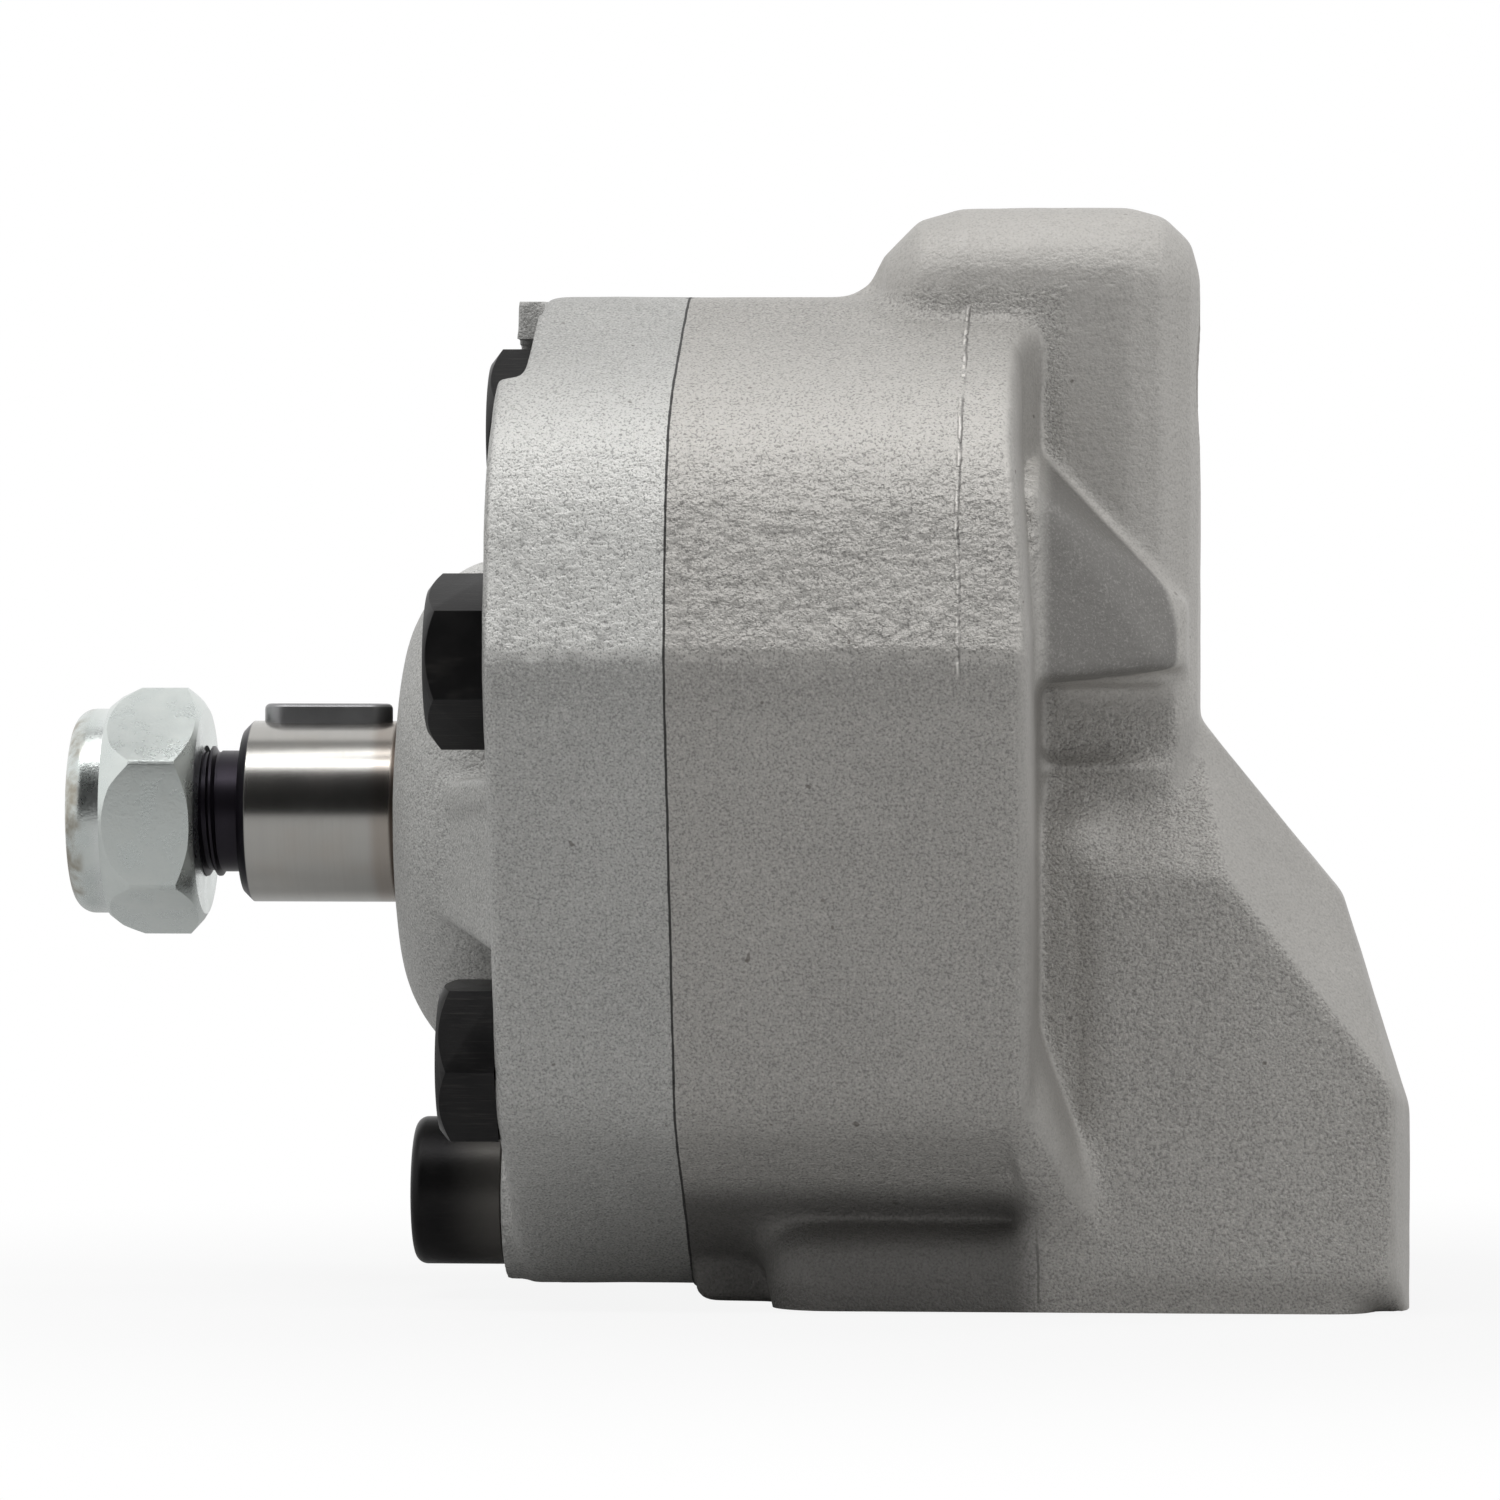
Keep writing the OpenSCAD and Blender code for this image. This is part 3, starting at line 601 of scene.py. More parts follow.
class Bench:
    """Modelling operators shared by every piece."""

    @staticmethod
    def clear() -> None:
        """Leave edit mode and deselect everything."""
        if bpy.context.object is not None and bpy.context.object.mode != "OBJECT":
            bpy.ops.object.mode_set(mode="OBJECT")
        bpy.ops.object.select_all(action="DESELECT")

    @staticmethod
    def focus(obj: bpy.types.Object) -> None:
        """Select one object alone and make it active.

        Args:
            obj: The object.
        """
        Bench.clear()
        obj.select_set(True)
        bpy.context.view_layer.objects.active = obj

    @staticmethod
    @contextmanager
    def editing(obj: bpy.types.Object) -> Iterator[None]:
        """Open an object in edit mode with its whole mesh selected.

        Args:
            obj: The object.

        Yields:
            Nothing.
        """
        Bench.focus(obj)
        bpy.ops.object.mode_set(mode="EDIT")
        bpy.ops.mesh.select_all(action="SELECT")
        yield
        bpy.ops.object.mode_set(mode="OBJECT")

    @staticmethod
    def copy_node(node: str, name: str) -> bpy.types.Object:
        """Copy a solid's mesh into a new object, its doubles merged.

        Args:
            node: The solid's node.
            name: The new piece's name.

        Returns:
            The new object.
        """
        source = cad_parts[node]
        obj = bpy.data.objects.new(name, source.data.copy())
        bpy.context.scene.collection.objects.link(obj)
        obj.data.materials.clear()
        with Bench.editing(obj):
            bpy.ops.mesh.remove_doubles(threshold=0.000002)
        for loose in list(obj.data.attributes):
            if loose.name in ("sharp_face", "sharp_edge", "custom_normal"):
                obj.data.attributes.remove(loose)
        return obj

    @staticmethod
    def modify(obj: bpy.types.Object, kind: str, **settings: object) -> None:
        """Add one modifier with its settings and apply it.

        Args:
            obj: The piece.
            kind: The modifier's type.
            **settings: Its attributes by name.
        """
        Bench.focus(obj)
        made = obj.modifiers.new(kind.title(), kind)
        for key, value in settings.items():
            setattr(made, key, value)
        bpy.ops.object.modifier_apply(modifier=made.name)

    @staticmethod
    def _read(items: bpy.types.bpy_prop_collection, name: str, width: int,
              kind: type = np.float32) -> np.ndarray:
        """Return one property of a mesh's items as rows of width numbers.

        Args:
            items: The mesh's points, edges or normals.
            name: The property.
            width: Numbers in each item.
            kind: Their type.

        Returns:
            One row for each item.
        """
        flat = np.empty(len(items) * width, dtype=kind)
        items.foreach_get(name, flat)
        return flat.reshape(-1, width)

    @staticmethod
    def points(obj: bpy.types.Object) -> np.ndarray:
        """Return the mesh's points as rows of x, y, z."""
        return Bench._read(obj.data.vertices, "co", 3).astype(np.float64)

    @staticmethod
    def put_points(obj: bpy.types.Object, rows: np.ndarray) -> None:
        """Write the mesh's points back."""
        obj.data.vertices.foreach_set("co", rows.astype(np.float32).ravel())
        obj.data.update()

    @staticmethod
    def normals(obj: bpy.types.Object) -> np.ndarray:
        """Return the mesh's point normals."""
        return Bench._read(obj.data.vertex_normals, "vector", 3).astype(np.float64)

    @staticmethod
    def edges(obj: bpy.types.Object) -> np.ndarray:
        """Return the mesh's edges as pairs of point numbers."""
        return Bench._read(obj.data.edges, "vertices", 2, np.int32)

    @staticmethod
    def _count(pairs: np.ndarray, points: int) -> np.ndarray:
        """Return each point's number of neighbours, or 1 where it has none."""
        return np.maximum(np.bincount(pairs.ravel(), minlength=points), 1)

    @staticmethod
    def _gather(pairs: np.ndarray, values: np.ndarray) -> np.ndarray:
        """Return the sum of the neighbours' values at each point.

        Args:
            pairs: Edges as pairs of point numbers.
            values: One number or row for each point.

        Returns:
            The sums, in the form of the values.
        """
        total = np.zeros_like(values)
        np.add.at(total, pairs[:, 0], values[pairs[:, 1]])
        np.add.at(total, pairs[:, 1], values[pairs[:, 0]])
        return total

    @staticmethod
    def relax(obj: bpy.types.Object, weight: np.ndarray, rounds: int) -> None:
        """Smooth the mesh where weight is above 0.

        Args:
            obj: The piece.
            weight: How far each point follows its neighbours, from 0 to 1.
            rounds: Number of passes.
        """
        rows = Bench.points(obj)
        pairs = Bench.edges(obj)
        pairs = pairs[(weight > 0)[pairs].any(axis=1)]
        count = Bench._count(pairs, len(rows))[:, None]
        share = (weight * 0.5)[:, None]
        for _ in range(rounds):
            rows += (Bench._gather(pairs, rows) / count - rows) * share
        Bench.put_points(obj, rows)

    @staticmethod
    def mark_wear(obj: bpy.types.Object, reach: int, gain: float) -> None:
        """Store how convex the surface is, as the attribute that finishes read for worn edges and for
        painted shade in corners.

        Args:
            obj: The piece.
            reach: Passes that spread the measure to its surroundings.
            gain: How strongly a bend counts.
        """
        rows, pairs, out = Bench.points(obj), Bench.edges(obj), Bench.normals(obj)
        count = Bench._count(pairs, len(rows))
        middle = Bench._gather(pairs, rows) / count[:, None]
        span = np.linalg.norm(rows[pairs[:, 0]] - rows[pairs[:, 1]], axis=1)
        length = np.zeros(len(rows))
        for end in (0, 1):
            np.add.at(length, pairs[:, end], span)
        bend = -np.einsum("ij,ij->i", middle - rows, out) / (length / count + 1e-9)
        for _ in range(reach):
            bend = 0.5 * bend + 0.5 * Bench._gather(pairs, bend) / count
        made = obj.data.attributes.new("wear", "FLOAT", "POINT")
        made.data.foreach_set("value", np.clip(0.5 + gain * bend, 0, 1).astype(np.float32))

    @staticmethod
    def cut(obj: bpy.types.Object, point: Sequence[float], normal: Sequence[float]) -> None:
        """Cut a piece flat and close the cut.

        Args:
            obj: The piece.
            point: A point on the cut.
            normal: The side that is cut away.
        """
        with Bench.editing(obj):
            bpy.ops.mesh.bisect(plane_co=point, plane_no=normal, use_fill=True, clear_outer=True)

    @staticmethod
    def lathe(rings: Sequence[Ring], steps: int = 96, closed: bool = True) -> bpy.types.Object:
        """Turn a profile about X by extruding a circle from ring to ring.

        Args:
            rings: Pairs of station along X and radius, in millimetres.
            steps: Points round the circle.
            closed: True to fill both ends, False where the last ring meets the first.

        Returns:
            The turned piece, its axis on X through the origin.
        """
        Bench.clear()
        first_x, first_r = rings[0]
        bpy.ops.mesh.primitive_circle_add(
            vertices=steps, radius=first_r, fill_type="NGON" if closed else "NOTHING",
            location=(0, 0, first_x), enter_editmode=True)
        radius, station = first_r, first_x
        for x, r in rings[1:]:
            bpy.ops.mesh.extrude_region_move(TRANSFORM_OT_translate={"value": (0, 0, x - station)})
            bpy.ops.transform.resize(value=(r / radius, r / radius, 1), center_override=(0, 0, x))
            radius, station = r, x
        bpy.ops.mesh.select_all(action="SELECT")
        bpy.ops.mesh.remove_doubles(threshold=0.001)
        bpy.ops.mesh.normals_make_consistent(inside=False)
        bpy.ops.object.mode_set(mode="OBJECT")
        obj = bpy.context.object
        Bench.settle(obj)
        obj.data.transform(Matrix.Rotation(math.radians(90), 4, "Y"))
        return obj

    @staticmethod
    def settle(obj: bpy.types.Object) -> None:
        """Move an object's place into its mesh.

        Args:
            obj: The object.
        """
        bpy.context.view_layer.update()
        obj.data.transform(obj.matrix_world)
        obj.matrix_world = Matrix.Identity(4)

    @staticmethod
    def prism(sides: int, radius: float, x0: float, x1: float, turn: float) -> bpy.types.Object:
        """Add a prism along +X.

        Args:
            sides: Number of sides.
            radius: Corner radius in millimetres.
            x0: First station in millimetres.
            x1: Last station in millimetres.
            turn: Turn about X in degrees.

        Returns:
            The prism, in millimetres.
        """
        Bench.clear()
        bpy.ops.mesh.primitive_cylinder_add(vertices=sides, radius=radius, depth=x1 - x0,
                                            location=(0, 0, (x0 + x1) / 2))
        obj = bpy.context.object
        Bench.settle(obj)
        spin = Matrix.Rotation(math.radians(turn), 4, "X")
        obj.data.transform(spin @ Matrix.Rotation(math.radians(90), 4, "Y"))
        return obj

    @staticmethod
    def boolean(obj: bpy.types.Object, tool: bpy.types.Object, operation: str) -> None:
        """Combine two pieces and delete the tool."""
        Bench.modify(obj, "BOOLEAN", operation=operation, object=tool, solver="EXACT")
        bpy.data.objects.remove(tool)

    @staticmethod
    def join(name: str, parts: Iterable[bpy.types.Object]) -> bpy.types.Object:
        """Join parts into one piece.

        Args:
            name: The piece's name.
            parts: The parts, the first of which stays.

        Returns:
            The joined piece.
        """
        parts = list(parts)
        Bench.clear()
        for part in parts:
            part.select_set(True)
        bpy.context.view_layer.objects.active = parts[0]
        if len(parts) > 1:
            bpy.ops.object.join()
        made = bpy.context.object
        made.name = made.data.name = name
        return made

    @staticmethod
    def dress(obj: bpy.types.Object, material: bpy.types.Material, shading: Shading) -> None:
        """Give a piece its only material, and shade it smooth up to an angle.

        Args:
            obj: The piece.
            material: Its finish.
            shading: The angle.
        """
        obj.data.materials.clear()
        obj.data.materials.append(material)
        Bench.focus(obj)
        bpy.ops.object.shade_smooth_by_angle(angle=math.radians(shading.value))

    @staticmethod
    def seat(obj: bpy.types.Object, y_mm: float, z_mm: float) -> None:
        """Turn millimetres into metres and move an axis to its place."""
        obj.data.transform(Matrix.Scale(MM, 4))
        obj.data.transform(Matrix.Translation((0, y_mm * MM, z_mm * MM)))


@dataclass
class Layout:
    """Stations of the pump that the solids give, in millimetres."""

    joint_x: float
    lobe_x: float
    hub_x: float
    axis_z: float
    half_cd: float
    shoulder_x: float
    nut_x: float

    @staticmethod
    def read() -> "Layout":
        """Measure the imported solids.

        Returns:
            The stations.
        """
        nodes = ("front_cover", "side_bolts", "drive_bush_front", "lock_nut")
        cover, bolts, bush, nut = ([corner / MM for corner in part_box(node)] for node in nodes)
        return Layout(
            joint_x=cover[1].x,
            lobe_x=bolts[0].x + HexBolt.head_h,
            hub_x=cover[0].x,
            axis_z=(bush[0].z + bush[1].z) / 2,
            half_cd=(bush[0].y + bush[1].y) / 2,
            shoulder_x=cover[0].x - DriveShaft.ground_len,
            nut_x=nut[1].x,
        )


@dataclass(frozen=True)
class SoftZone:
    """A box, the same on both sides, in which the cast forms flow into each other."""

    low: Triple
    high: Triple
    rounds: int

    def weight(self, rows: np.ndarray) -> np.ndarray:
        """Return how much each point belongs to the zone, 1 from 2 mm inside its sides.

        Args:
            rows: The points, in metres.

        Returns:
            A weight from 0 to 1 for each point.
        """
        spot = rows / MM
        spot[:, 1] = np.abs(spot[:, 1])
        inside = np.minimum(spot - np.array(self.low), np.array(self.high) - spot)
        return np.clip(inside.min(axis=1) / 2, 0, 1)


@dataclass(frozen=True)
class Bore:
    """A bore or spot face along X beside which a casting stays crisp, in metres."""

    start: Vector
    end: Vector
    radius: float

    @staticmethod
    def along_x(x0: float, x1: float, y: float, z: float, radius: float) -> "Bore":
        """Return a bore from its sizes in millimetres."""
        return Bore(Vector((x0, y, z)) * MM, Vector((x1, y, z)) * MM, radius * MM)

    def gap(self, rows: np.ndarray) -> np.ndarray:
        """Return each point's distance from the bore's wall.

        Args:
            rows: The points, in metres.

        Returns:
            The distances, in metres.
        """
        line = np.array(self.end - self.start)
        length = np.linalg.norm(line)
        along = (rows - np.array(self.start)) @ (line / length)
        foot = np.array(self.start) + np.outer(np.clip(along, 0, length), line / length)
        return np.linalg.norm(rows - foot, axis=1) - self.radius


@dataclass(frozen=True)
class Port:
    """The inlet port and the passage behind it, in millimetres."""

    mouth_x: float
    axis_z: float
    radius: float = 11.0
    depth: float = 16.0
    passage_r: float = 9.0
    passage_depth: float = 30.4
    chamfer: float = 1.0
    reach: float = 2.5

    def cut(self, obj: bpy.types.Object) -> None:
        """Bore the port into a casting.

        Args:
            obj: The casting, in metres.
        """
        floor = self.mouth_x - self.depth
        rim = self.mouth_x - self.chamfer
        drill = Bench.lathe([(self.mouth_x - self.passage_depth, self.passage_r), (floor, self.passage_r),
                             (floor + 0.1, self.radius), (rim, self.radius),
                             (rim + self.reach, self.radius + self.reach)])
        Bench.seat(drill, 0, self.axis_z)
        Bench.boolean(obj, drill, "DIFFERENCE")


@dataclass
class Casting:
    """A cast piece made from its solid: softened skin, crisp machined faces.

    Plain numbers are millimetres. Vectors and bores are in metres.
    """

    node: str
    name: str
    body: str
    skin: CastSkin
    machined: tuple[tuple[Vector, Vector], ...]
    bores: tuple[Bore, ...]
    zones: tuple[SoftZone, ...]
    ear_x: float | None = None
    port: Port | None = None
    voxel: float = 0.55
    rounds: int = 5
    crease_z: float = 69.3
    draft: float = 0.08
    most_draft: float = 1.4
    flank_y: float = 33.0
    rear_x: float = -5.1
    rear_lean: float = 1.5
    fill_y: float = 20.3
    ear_lift: float = 0.55
    most_faces: int = 170000

    def build(self) -> bpy.types.Object:
        """Model the casting.

        Returns:
            The finished piece.
        """
        obj = Bench.copy_node(self.node, self.name)
        self._reach_past_cuts(obj)
        voxel = self.voxel * 1.0
        Bench.modify(obj, "REMESH", mode="VOXEL", voxel_size=voxel * MM, adaptivity=0.0)
        Bench.relax(obj, self._softness(obj), self.rounds)
        self._fill(obj)
        self._lift(obj)
        for zone in self.zones:
            Bench.relax(obj, self._softness(obj) * zone.weight(Bench.points(obj)), zone.rounds)
        self._lean(obj)
        self._weather(obj)
        for point, away in self.machined:
            Bench.cut(obj, point, away)
        if self.port is not None:
            self.port.cut(obj)
        Bench.mark_wear(obj, reach=3, gain=1.6)
        share = self.most_faces / (2 * len(obj.data.polygons))
        if share < 1:
            Bench.modify(obj, "DECIMATE", ratio=share)
        low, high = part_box(self.node)
        Bench.put_points(obj, np.clip(Bench.points(obj), np.array(low), np.array(high)))
        Bench.dress(obj, self.skin.build(), Shading.SOFT)
        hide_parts(self.node)
        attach(obj, self.body)
        return obj

    def _reach_past_cuts(self, obj: bpy.types.Object) -> None:
        """Draw each machined face out by 3 mm, so that the softened skin can be cut back to it.

        Args:
            obj: The casting.
        """
        rows = Bench.points(obj)
        for point, away in self.machined:
            off = (rows - np.array(point)) @ np.array(away)
            rows[np.abs(off) < 0.00002] += np.array(away) * 3 * MM
        Bench.put_points(obj, rows)

    def _softness(self, obj: bpy.types.Object) -> np.ndarray:
        """Return how far each point may be softened: hardly at all beside bores.

        Args:
            obj: The casting.

        Returns:
            A weight from 0.06 to 1 for each point.
        """
        rows = Bench.points(obj)
        weight = np.ones(len(rows))
        for bore in self.bores:
            weight = np.minimum(weight, np.clip(bore.gap(rows) / (1.2 * MM), 0.06, 1))
        return weight

    def _fill(self, obj: bpy.types.Object) -> None:
        """Fill the hollow between the body's back and the foot's block up to a shallow dip.

        Args:
            obj: The casting.
        """
        rows = Bench.points(obj)
        x, y, z = (rows / MM).T
        side = np.abs(y)
        inside = np.minimum(x - self.rear_x - 0.3, self.rear_x + 7 - x)
        inside = np.minimum(inside, np.minimum(z - 8, (54 - z) / 4))
        inside = np.minimum(inside, (side - 12) / 2)
        share = np.clip(inside, 0, 1) * (side < self.fill_y)
        rows[:, 1] += np.sign(y) * share * (self.fill_y - side) * MM
        Bench.put_points(obj, rows)

    def _lift(self, obj: bpy.types.Object) -> None:
        """Lift the ear ahead of the top bolt to the height of the casting's top.

        Args:
            obj: The casting.
        """
        if self.ear_x is None:
            return
        rows = Bench.points(obj)
        ahead = np.clip(self.ear_x - rows[:, 0] / MM, 0, 1)
        rows[:, 2] += ahead * np.clip((rows[:, 2] / MM - 104) / 3, 0, 1) * self.ear_lift * MM
        Bench.put_points(obj, rows)

    def _lean(self, obj: bpy.types.Object) -> None:
        """Lean the upper flanks and the body's upper back in, as the mould's draft does.

        Args:
            obj: The casting.
        """
        rows = Bench.points(obj)
        x, y, z = (rows / MM).T
        rise = z - self.crease_z
        lean = np.clip(rise * self.draft, 0, self.most_draft) * np.clip((34 - rise) / 8, 0, 1)
        lean *= np.clip((np.abs(y) - self.flank_y) / 5, 0, 1) * self._softness(obj)
        rows[:, 1] -= np.sign(y) * lean * MM
        side = np.abs(rows[:, 1]) / MM
        back = np.clip((x - self.rear_x + 7) / 6, 0, 1) * (x < self.rear_x + 0.3)
        back *= np.clip((side - 19) / 4, 0, 1) * np.clip((rise - 2) / 20, 0, 1)
        rows[:, 0] -= back * self.rear_lean * MM
        Bench.put_points(obj, rows)

    def _weather(self, obj: bpy.types.Object) -> None:
        """Give the cast skin its slight waviness.

        Args:
            obj: The casting.
        """
        rows, out = Bench.points(obj), Bench.normals(obj)
        weight = self._softness(obj)
        for k, (row, normal) in enumerate(zip(rows, out)):
            if weight[k] < 0.5:
                continue
            wave = noise.noise(Vector(row) * 55) * 0.16 + noise.noise(Vector(row) * 210) * 0.05
            rows[k] = row + normal * wave * MM
        Bench.put_points(obj, rows)


@dataclass
class HexBolt:
    """Hexagon-head bolt with a chamfered head."""

    place: tuple[float, float]
    seat_x: float
    end_x: float
    turn: float
    across_flats: float = 16.0
    head_h: float = 6.4
    shank_r: float = 4.9
    edge: float = 0.28

    def build(self, layout: Layout) -> bpy.types.Object:
        """Model the bolt at its place.

        Args:
            layout: Stations of the pump.

        Returns:
            The bolt, without material.
        """
        top = self.seat_x - self.head_h
        head = Bench.prism(6, self.across_flats / math.sqrt(3), top, self.seat_x, self.turn)
        flat = self.across_flats / 2
        cone = Bench.lathe([(top, flat * 0.94), (top + self.across_flats * 0.1, flat * 1.2),
                            (self.seat_x + 1, self.across_flats)], 128)
        Bench.boolean(head, cone, "INTERSECT")
        Bench.modify(head, "BEVEL", width=self.edge, segments=3, angle_limit=math.radians(24))
        shank = Bench.lathe([(self.seat_x - 0.5, self.shank_r), (self.end_x - 1, self.shank_r),
                             (self.end_x, self.shank_r - 1)], 40)
        bolt = Bench.join("bolt", [head, shank])
        Bench.seat(bolt, self.place[0], layout.axis_z + self.place[1])
        return bolt


@dataclass
class CapScrew:
    """Socket-head cap screw."""

    place: tuple[float, float]
    seat_x: float
    end_x: float
    head_r: float = 8.0
    head_h: float = 10.0
    rim_r: float = 1.3
    socket_af: float = 8.0
    socket_turn: float = 8.0
    shank_r: float = 4.9

    def build(self, layout: Layout) -> bpy.types.Object:
        """Model the screw at its place.

        Args:
            layout: Stations of the pump.

        Returns:
            The screw, without material.
        """
        top = self.seat_x - self.head_h
        rim = [(top + self.rim_r * (1 - math.sin(a)), self.head_r - self.rim_r * (1 - math.cos(a)))
               for a in (math.radians(d) for d in range(90, -1, -10))]
        head = Bench.lathe([*rim, (self.seat_x - 0.3, self.head_r), (self.seat_x, self.head_r - 0.3),
                            (self.seat_x, self.shank_r), (self.end_x - 1, self.shank_r),
                            (self.end_x, self.shank_r - 1)])
        socket = Bench.prism(6, self.socket_af / math.sqrt(3), top - 1, top + self.head_h / 2,
                             self.socket_turn)
        Bench.boolean(head, socket, "DIFFERENCE")
        Bench.seat(head, self.place[0], layout.axis_z + self.place[1])
        return head


@dataclass
class Fasteners:
    """The cover's six screws."""

    side_places: tuple[tuple[float, float], ...] = ((-35.25, 16), (-22.25, -26), (35.25, 16), (22.25, -26))
    side_turns: tuple[float, ...] = (26, 6, 34, 54)
    top_turn: float = 42
    top_place: tuple[float, float] = (0, 41.2)
    cap_place: tuple[float, float] = (0, -41)
    grip: float = 16.0

    def build(self, layout: Layout) -> None:
        """Model and dress all the screws.

        Args:
            layout: Stations of the pump.
        """
        end = layout.joint_x + self.grip
        oxide = BlackOxide("black_oxide", 0.35, 0.5).build()
        smooth = BlackOxide("black_oxide_smooth", 0.08, 0.25).build()
        bolts = [HexBolt(place, layout.lobe_x, end, turn).build(layout)
                 for place, turn in zip(self.side_places, self.side_turns)]
        self._dress(Bench.join("side_bolts_set", bolts), "side_bolts", oxide)
        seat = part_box("top_bolt")[0].x / MM + HexBolt.head_h
        top = HexBolt(self.top_place, seat, end, self.top_turn).build(layout)
        self._dress(Bench.join("top_bolt_piece", [top]), "top_bolt", oxide)
        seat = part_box("cap_screw")[0].x / MM + CapScrew.head_h
        cap = CapScrew(self.cap_place, seat, end).build(layout)
        self._dress(Bench.join("cap_screw_piece", [cap]), "cap_screw", smooth)

    @staticmethod
    def _dress(obj: bpy.types.Object, node: str, material: bpy.types.Material) -> None:
        """Dress a screw and put it in place of its node.

        Args:
            obj: The screw.
            node: The solid that it replaces.
            material: Its finish.
        """
        Bench.mark_wear(obj, reach=0, gain=1.0)
        Bench.dress(obj, material, Shading.CRISP)
        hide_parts(node)
        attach(obj, "housing")
        LOG.info("%s", obj.name)


@dataclass
class LockNut:
    """Lock nut with a domed collar round its insert."""

    across_flats: float = 24.0
    hex_h: float = 10.4
    collar_h: float = 4.0
    bore_r: float = 7.25
    stain_h: float = 2.5
    turn: float = 7.0

    def build(self, layout: Layout) -> bpy.types.Object:
        """Model and dress the nut.

        Args:
            layout: Stations of the pump.

        Returns:
            The nut.
        """
        flat = self.across_flats / 2
        base = layout.nut_x
        top = base - self.hex_h
        end = top - self.collar_h
        body = Bench.prism(6, flat / math.cos(math.radians(30)), top, base, self.turn + 30)
        cone = Bench.lathe([(top, flat - 0.3), (top + 1.3, flat + 0.7), (top + 3.4, flat + 1.7),
                            (base - 1.9, flat + 1.7), (base - 0.5, flat + 0.2), (base, flat - 0.6)], 128)
        Bench.boolean(body, cone, "INTERSECT")
        bore = Bench.prism(64, self.bore_r, top - 1, base + 1, 0)
        Bench.boolean(body, bore, "DIFFERENCE")
        Bench.modify(body, "BEVEL", width=0.3, segments=3, angle_limit=math.radians(24))
        collar = Bench.lathe(self._collar(end, top, flat - 0.7), 128, closed=False)
        nut = Bench.join("lock_nut_piece", [body, collar])
        Bench.seat(nut, layout.half_cd, layout.axis_z)
        Bench.mark_wear(nut, reach=0, gain=1.0)
        Bench.dress(nut, ZincPlate("zinc_plate", (end + self.stain_h) * MM).build(), Shading.CRISP)
        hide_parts("lock_nut")
        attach(nut, "drive_shaft")
        return nut

    def _collar(self, end: float, top: float, outer: float) -> list[Ring]:
        """Return the collar's closed profile: a wall that curls over the insert.

        Args:
            end: The nut's free end, along X.
            top: The hexagon's face, along X.
            outer: The wall's outer radius.

        Returns:
            Rings in millimetres, the last of which meets the first.
        """
        curl = 2.2
        outside = [(end + curl * (1 - math.sin(a)), outer - curl * (1 - math.cos(a)))
                   for a in (math.radians(d) for d in range(0, 91, 9))]
        inner = outer - curl
        return [(top + 0.4, outer), *outside, (end + 0.1, inner - 0.9), (end + 0.4, inner - 1.1),
                (end + 0.8, inner - 0.9), (end + 0.8, inner), (top + 0.4, inner), (top + 0.4, outer)]


@dataclass
class DriveShaft:
    """The drive shaft: ground journal, dark chamfer, black relief and thread."""

    core_r: float = 6.55
    crest_r: float = 7.2
    pitch: float = 1.5
    relief: float = 2.6
    ground_len: float = 18.1
    solid_stub_r: float = 7.0
    chamfer: float = 1.0
    stain_out: float = 1.1

    def build(self, layout: Layout) -> bpy.types.Object:
        """Model and dress the shaft.

        Args:
            layout: Stations of the pump.

        Returns:
            The shaft.
        """
        shaft = Bench.copy_node("drive_gear_shaft", "drive_shaft_piece")
        rows = Bench.points(shaft)
        axis = np.array([layout.half_cd, layout.axis_z]) * MM
        away = rows[:, 1:] - axis
        radius = np.linalg.norm(away, axis=1)
        stub = rows[:, 0] < (layout.shoulder_x - self.relief + 0.05) * MM
        stub &= radius > self.solid_stub_r * MM
        rows[stub, 1:] = axis + away[stub] * (self.core_r * MM / radius[stub])[:, None]
        Bench.put_points(shaft, rows)
        Bench.modify(shaft, "BEVEL", width=0.12 * MM, segments=2, angle_limit=math.radians(40))
        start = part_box("drive_gear_shaft")[0].x / MM + 0.4
        thread = self._thread(start, layout.shoulder_x - self.relief + 0.2)
        Bench.seat(thread, layout.half_cd, layout.axis_z)
        shaft = Bench.join("drive_shaft_piece", [shaft, thread])
        finish = GroundSteel("ground_steel_drive", (0.5, 0.49, 0.465),
                             black_before_x=(layout.shoulder_x + self.chamfer) * MM,
                             dark_from_x=(layout.hub_x - self.stain_out) * MM)
        Bench.dress(shaft, finish.build(), Shading.CRISP)
        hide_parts("drive_gear_shaft")
        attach(shaft, "drive_shaft")
        return shaft

    def _thread(self, x0: float, x1: float) -> bpy.types.Object:
        """Model the thread's ridge as a closed helix.

        Args:
            x0: First station in millimetres.
            x1: Last station in millimetres.

        Returns:
            The ridge, in millimetres, its axis on X.
        """
        Bench.clear()
        bpy.ops.mesh.primitive_plane_add(size=1)
        ridge = bpy.context.object
        half, crest, root_r = self.pitch * 0.46, self.pitch * 0.09, self.core_r - 0.3
        corners = ((root_r, half), (root_r, -half), (self.crest_r, crest), (self.crest_r, -crest))
        for vertex, (radius, station) in zip(ridge.data.vertices, corners):
            vertex.co = (radius, 0, station)
        turns = (x1 - x0) / self.pitch
        Bench.modify(ridge, "SCREW", angle=2 * math.pi * turns, screw_offset=x1 - x0, axis="Z",
                     steps=int(40 * turns), render_steps=int(40 * turns), use_merge_vertices=False)
        with Bench.editing(ridge):
            bpy.ops.mesh.normals_make_consistent(inside=False)
        ridge.data.transform(Matrix.Rotation(math.radians(90), 4, "Y"))
        ridge.data.transform(Matrix.Translation((x0, 0, 0)))
        return ridge


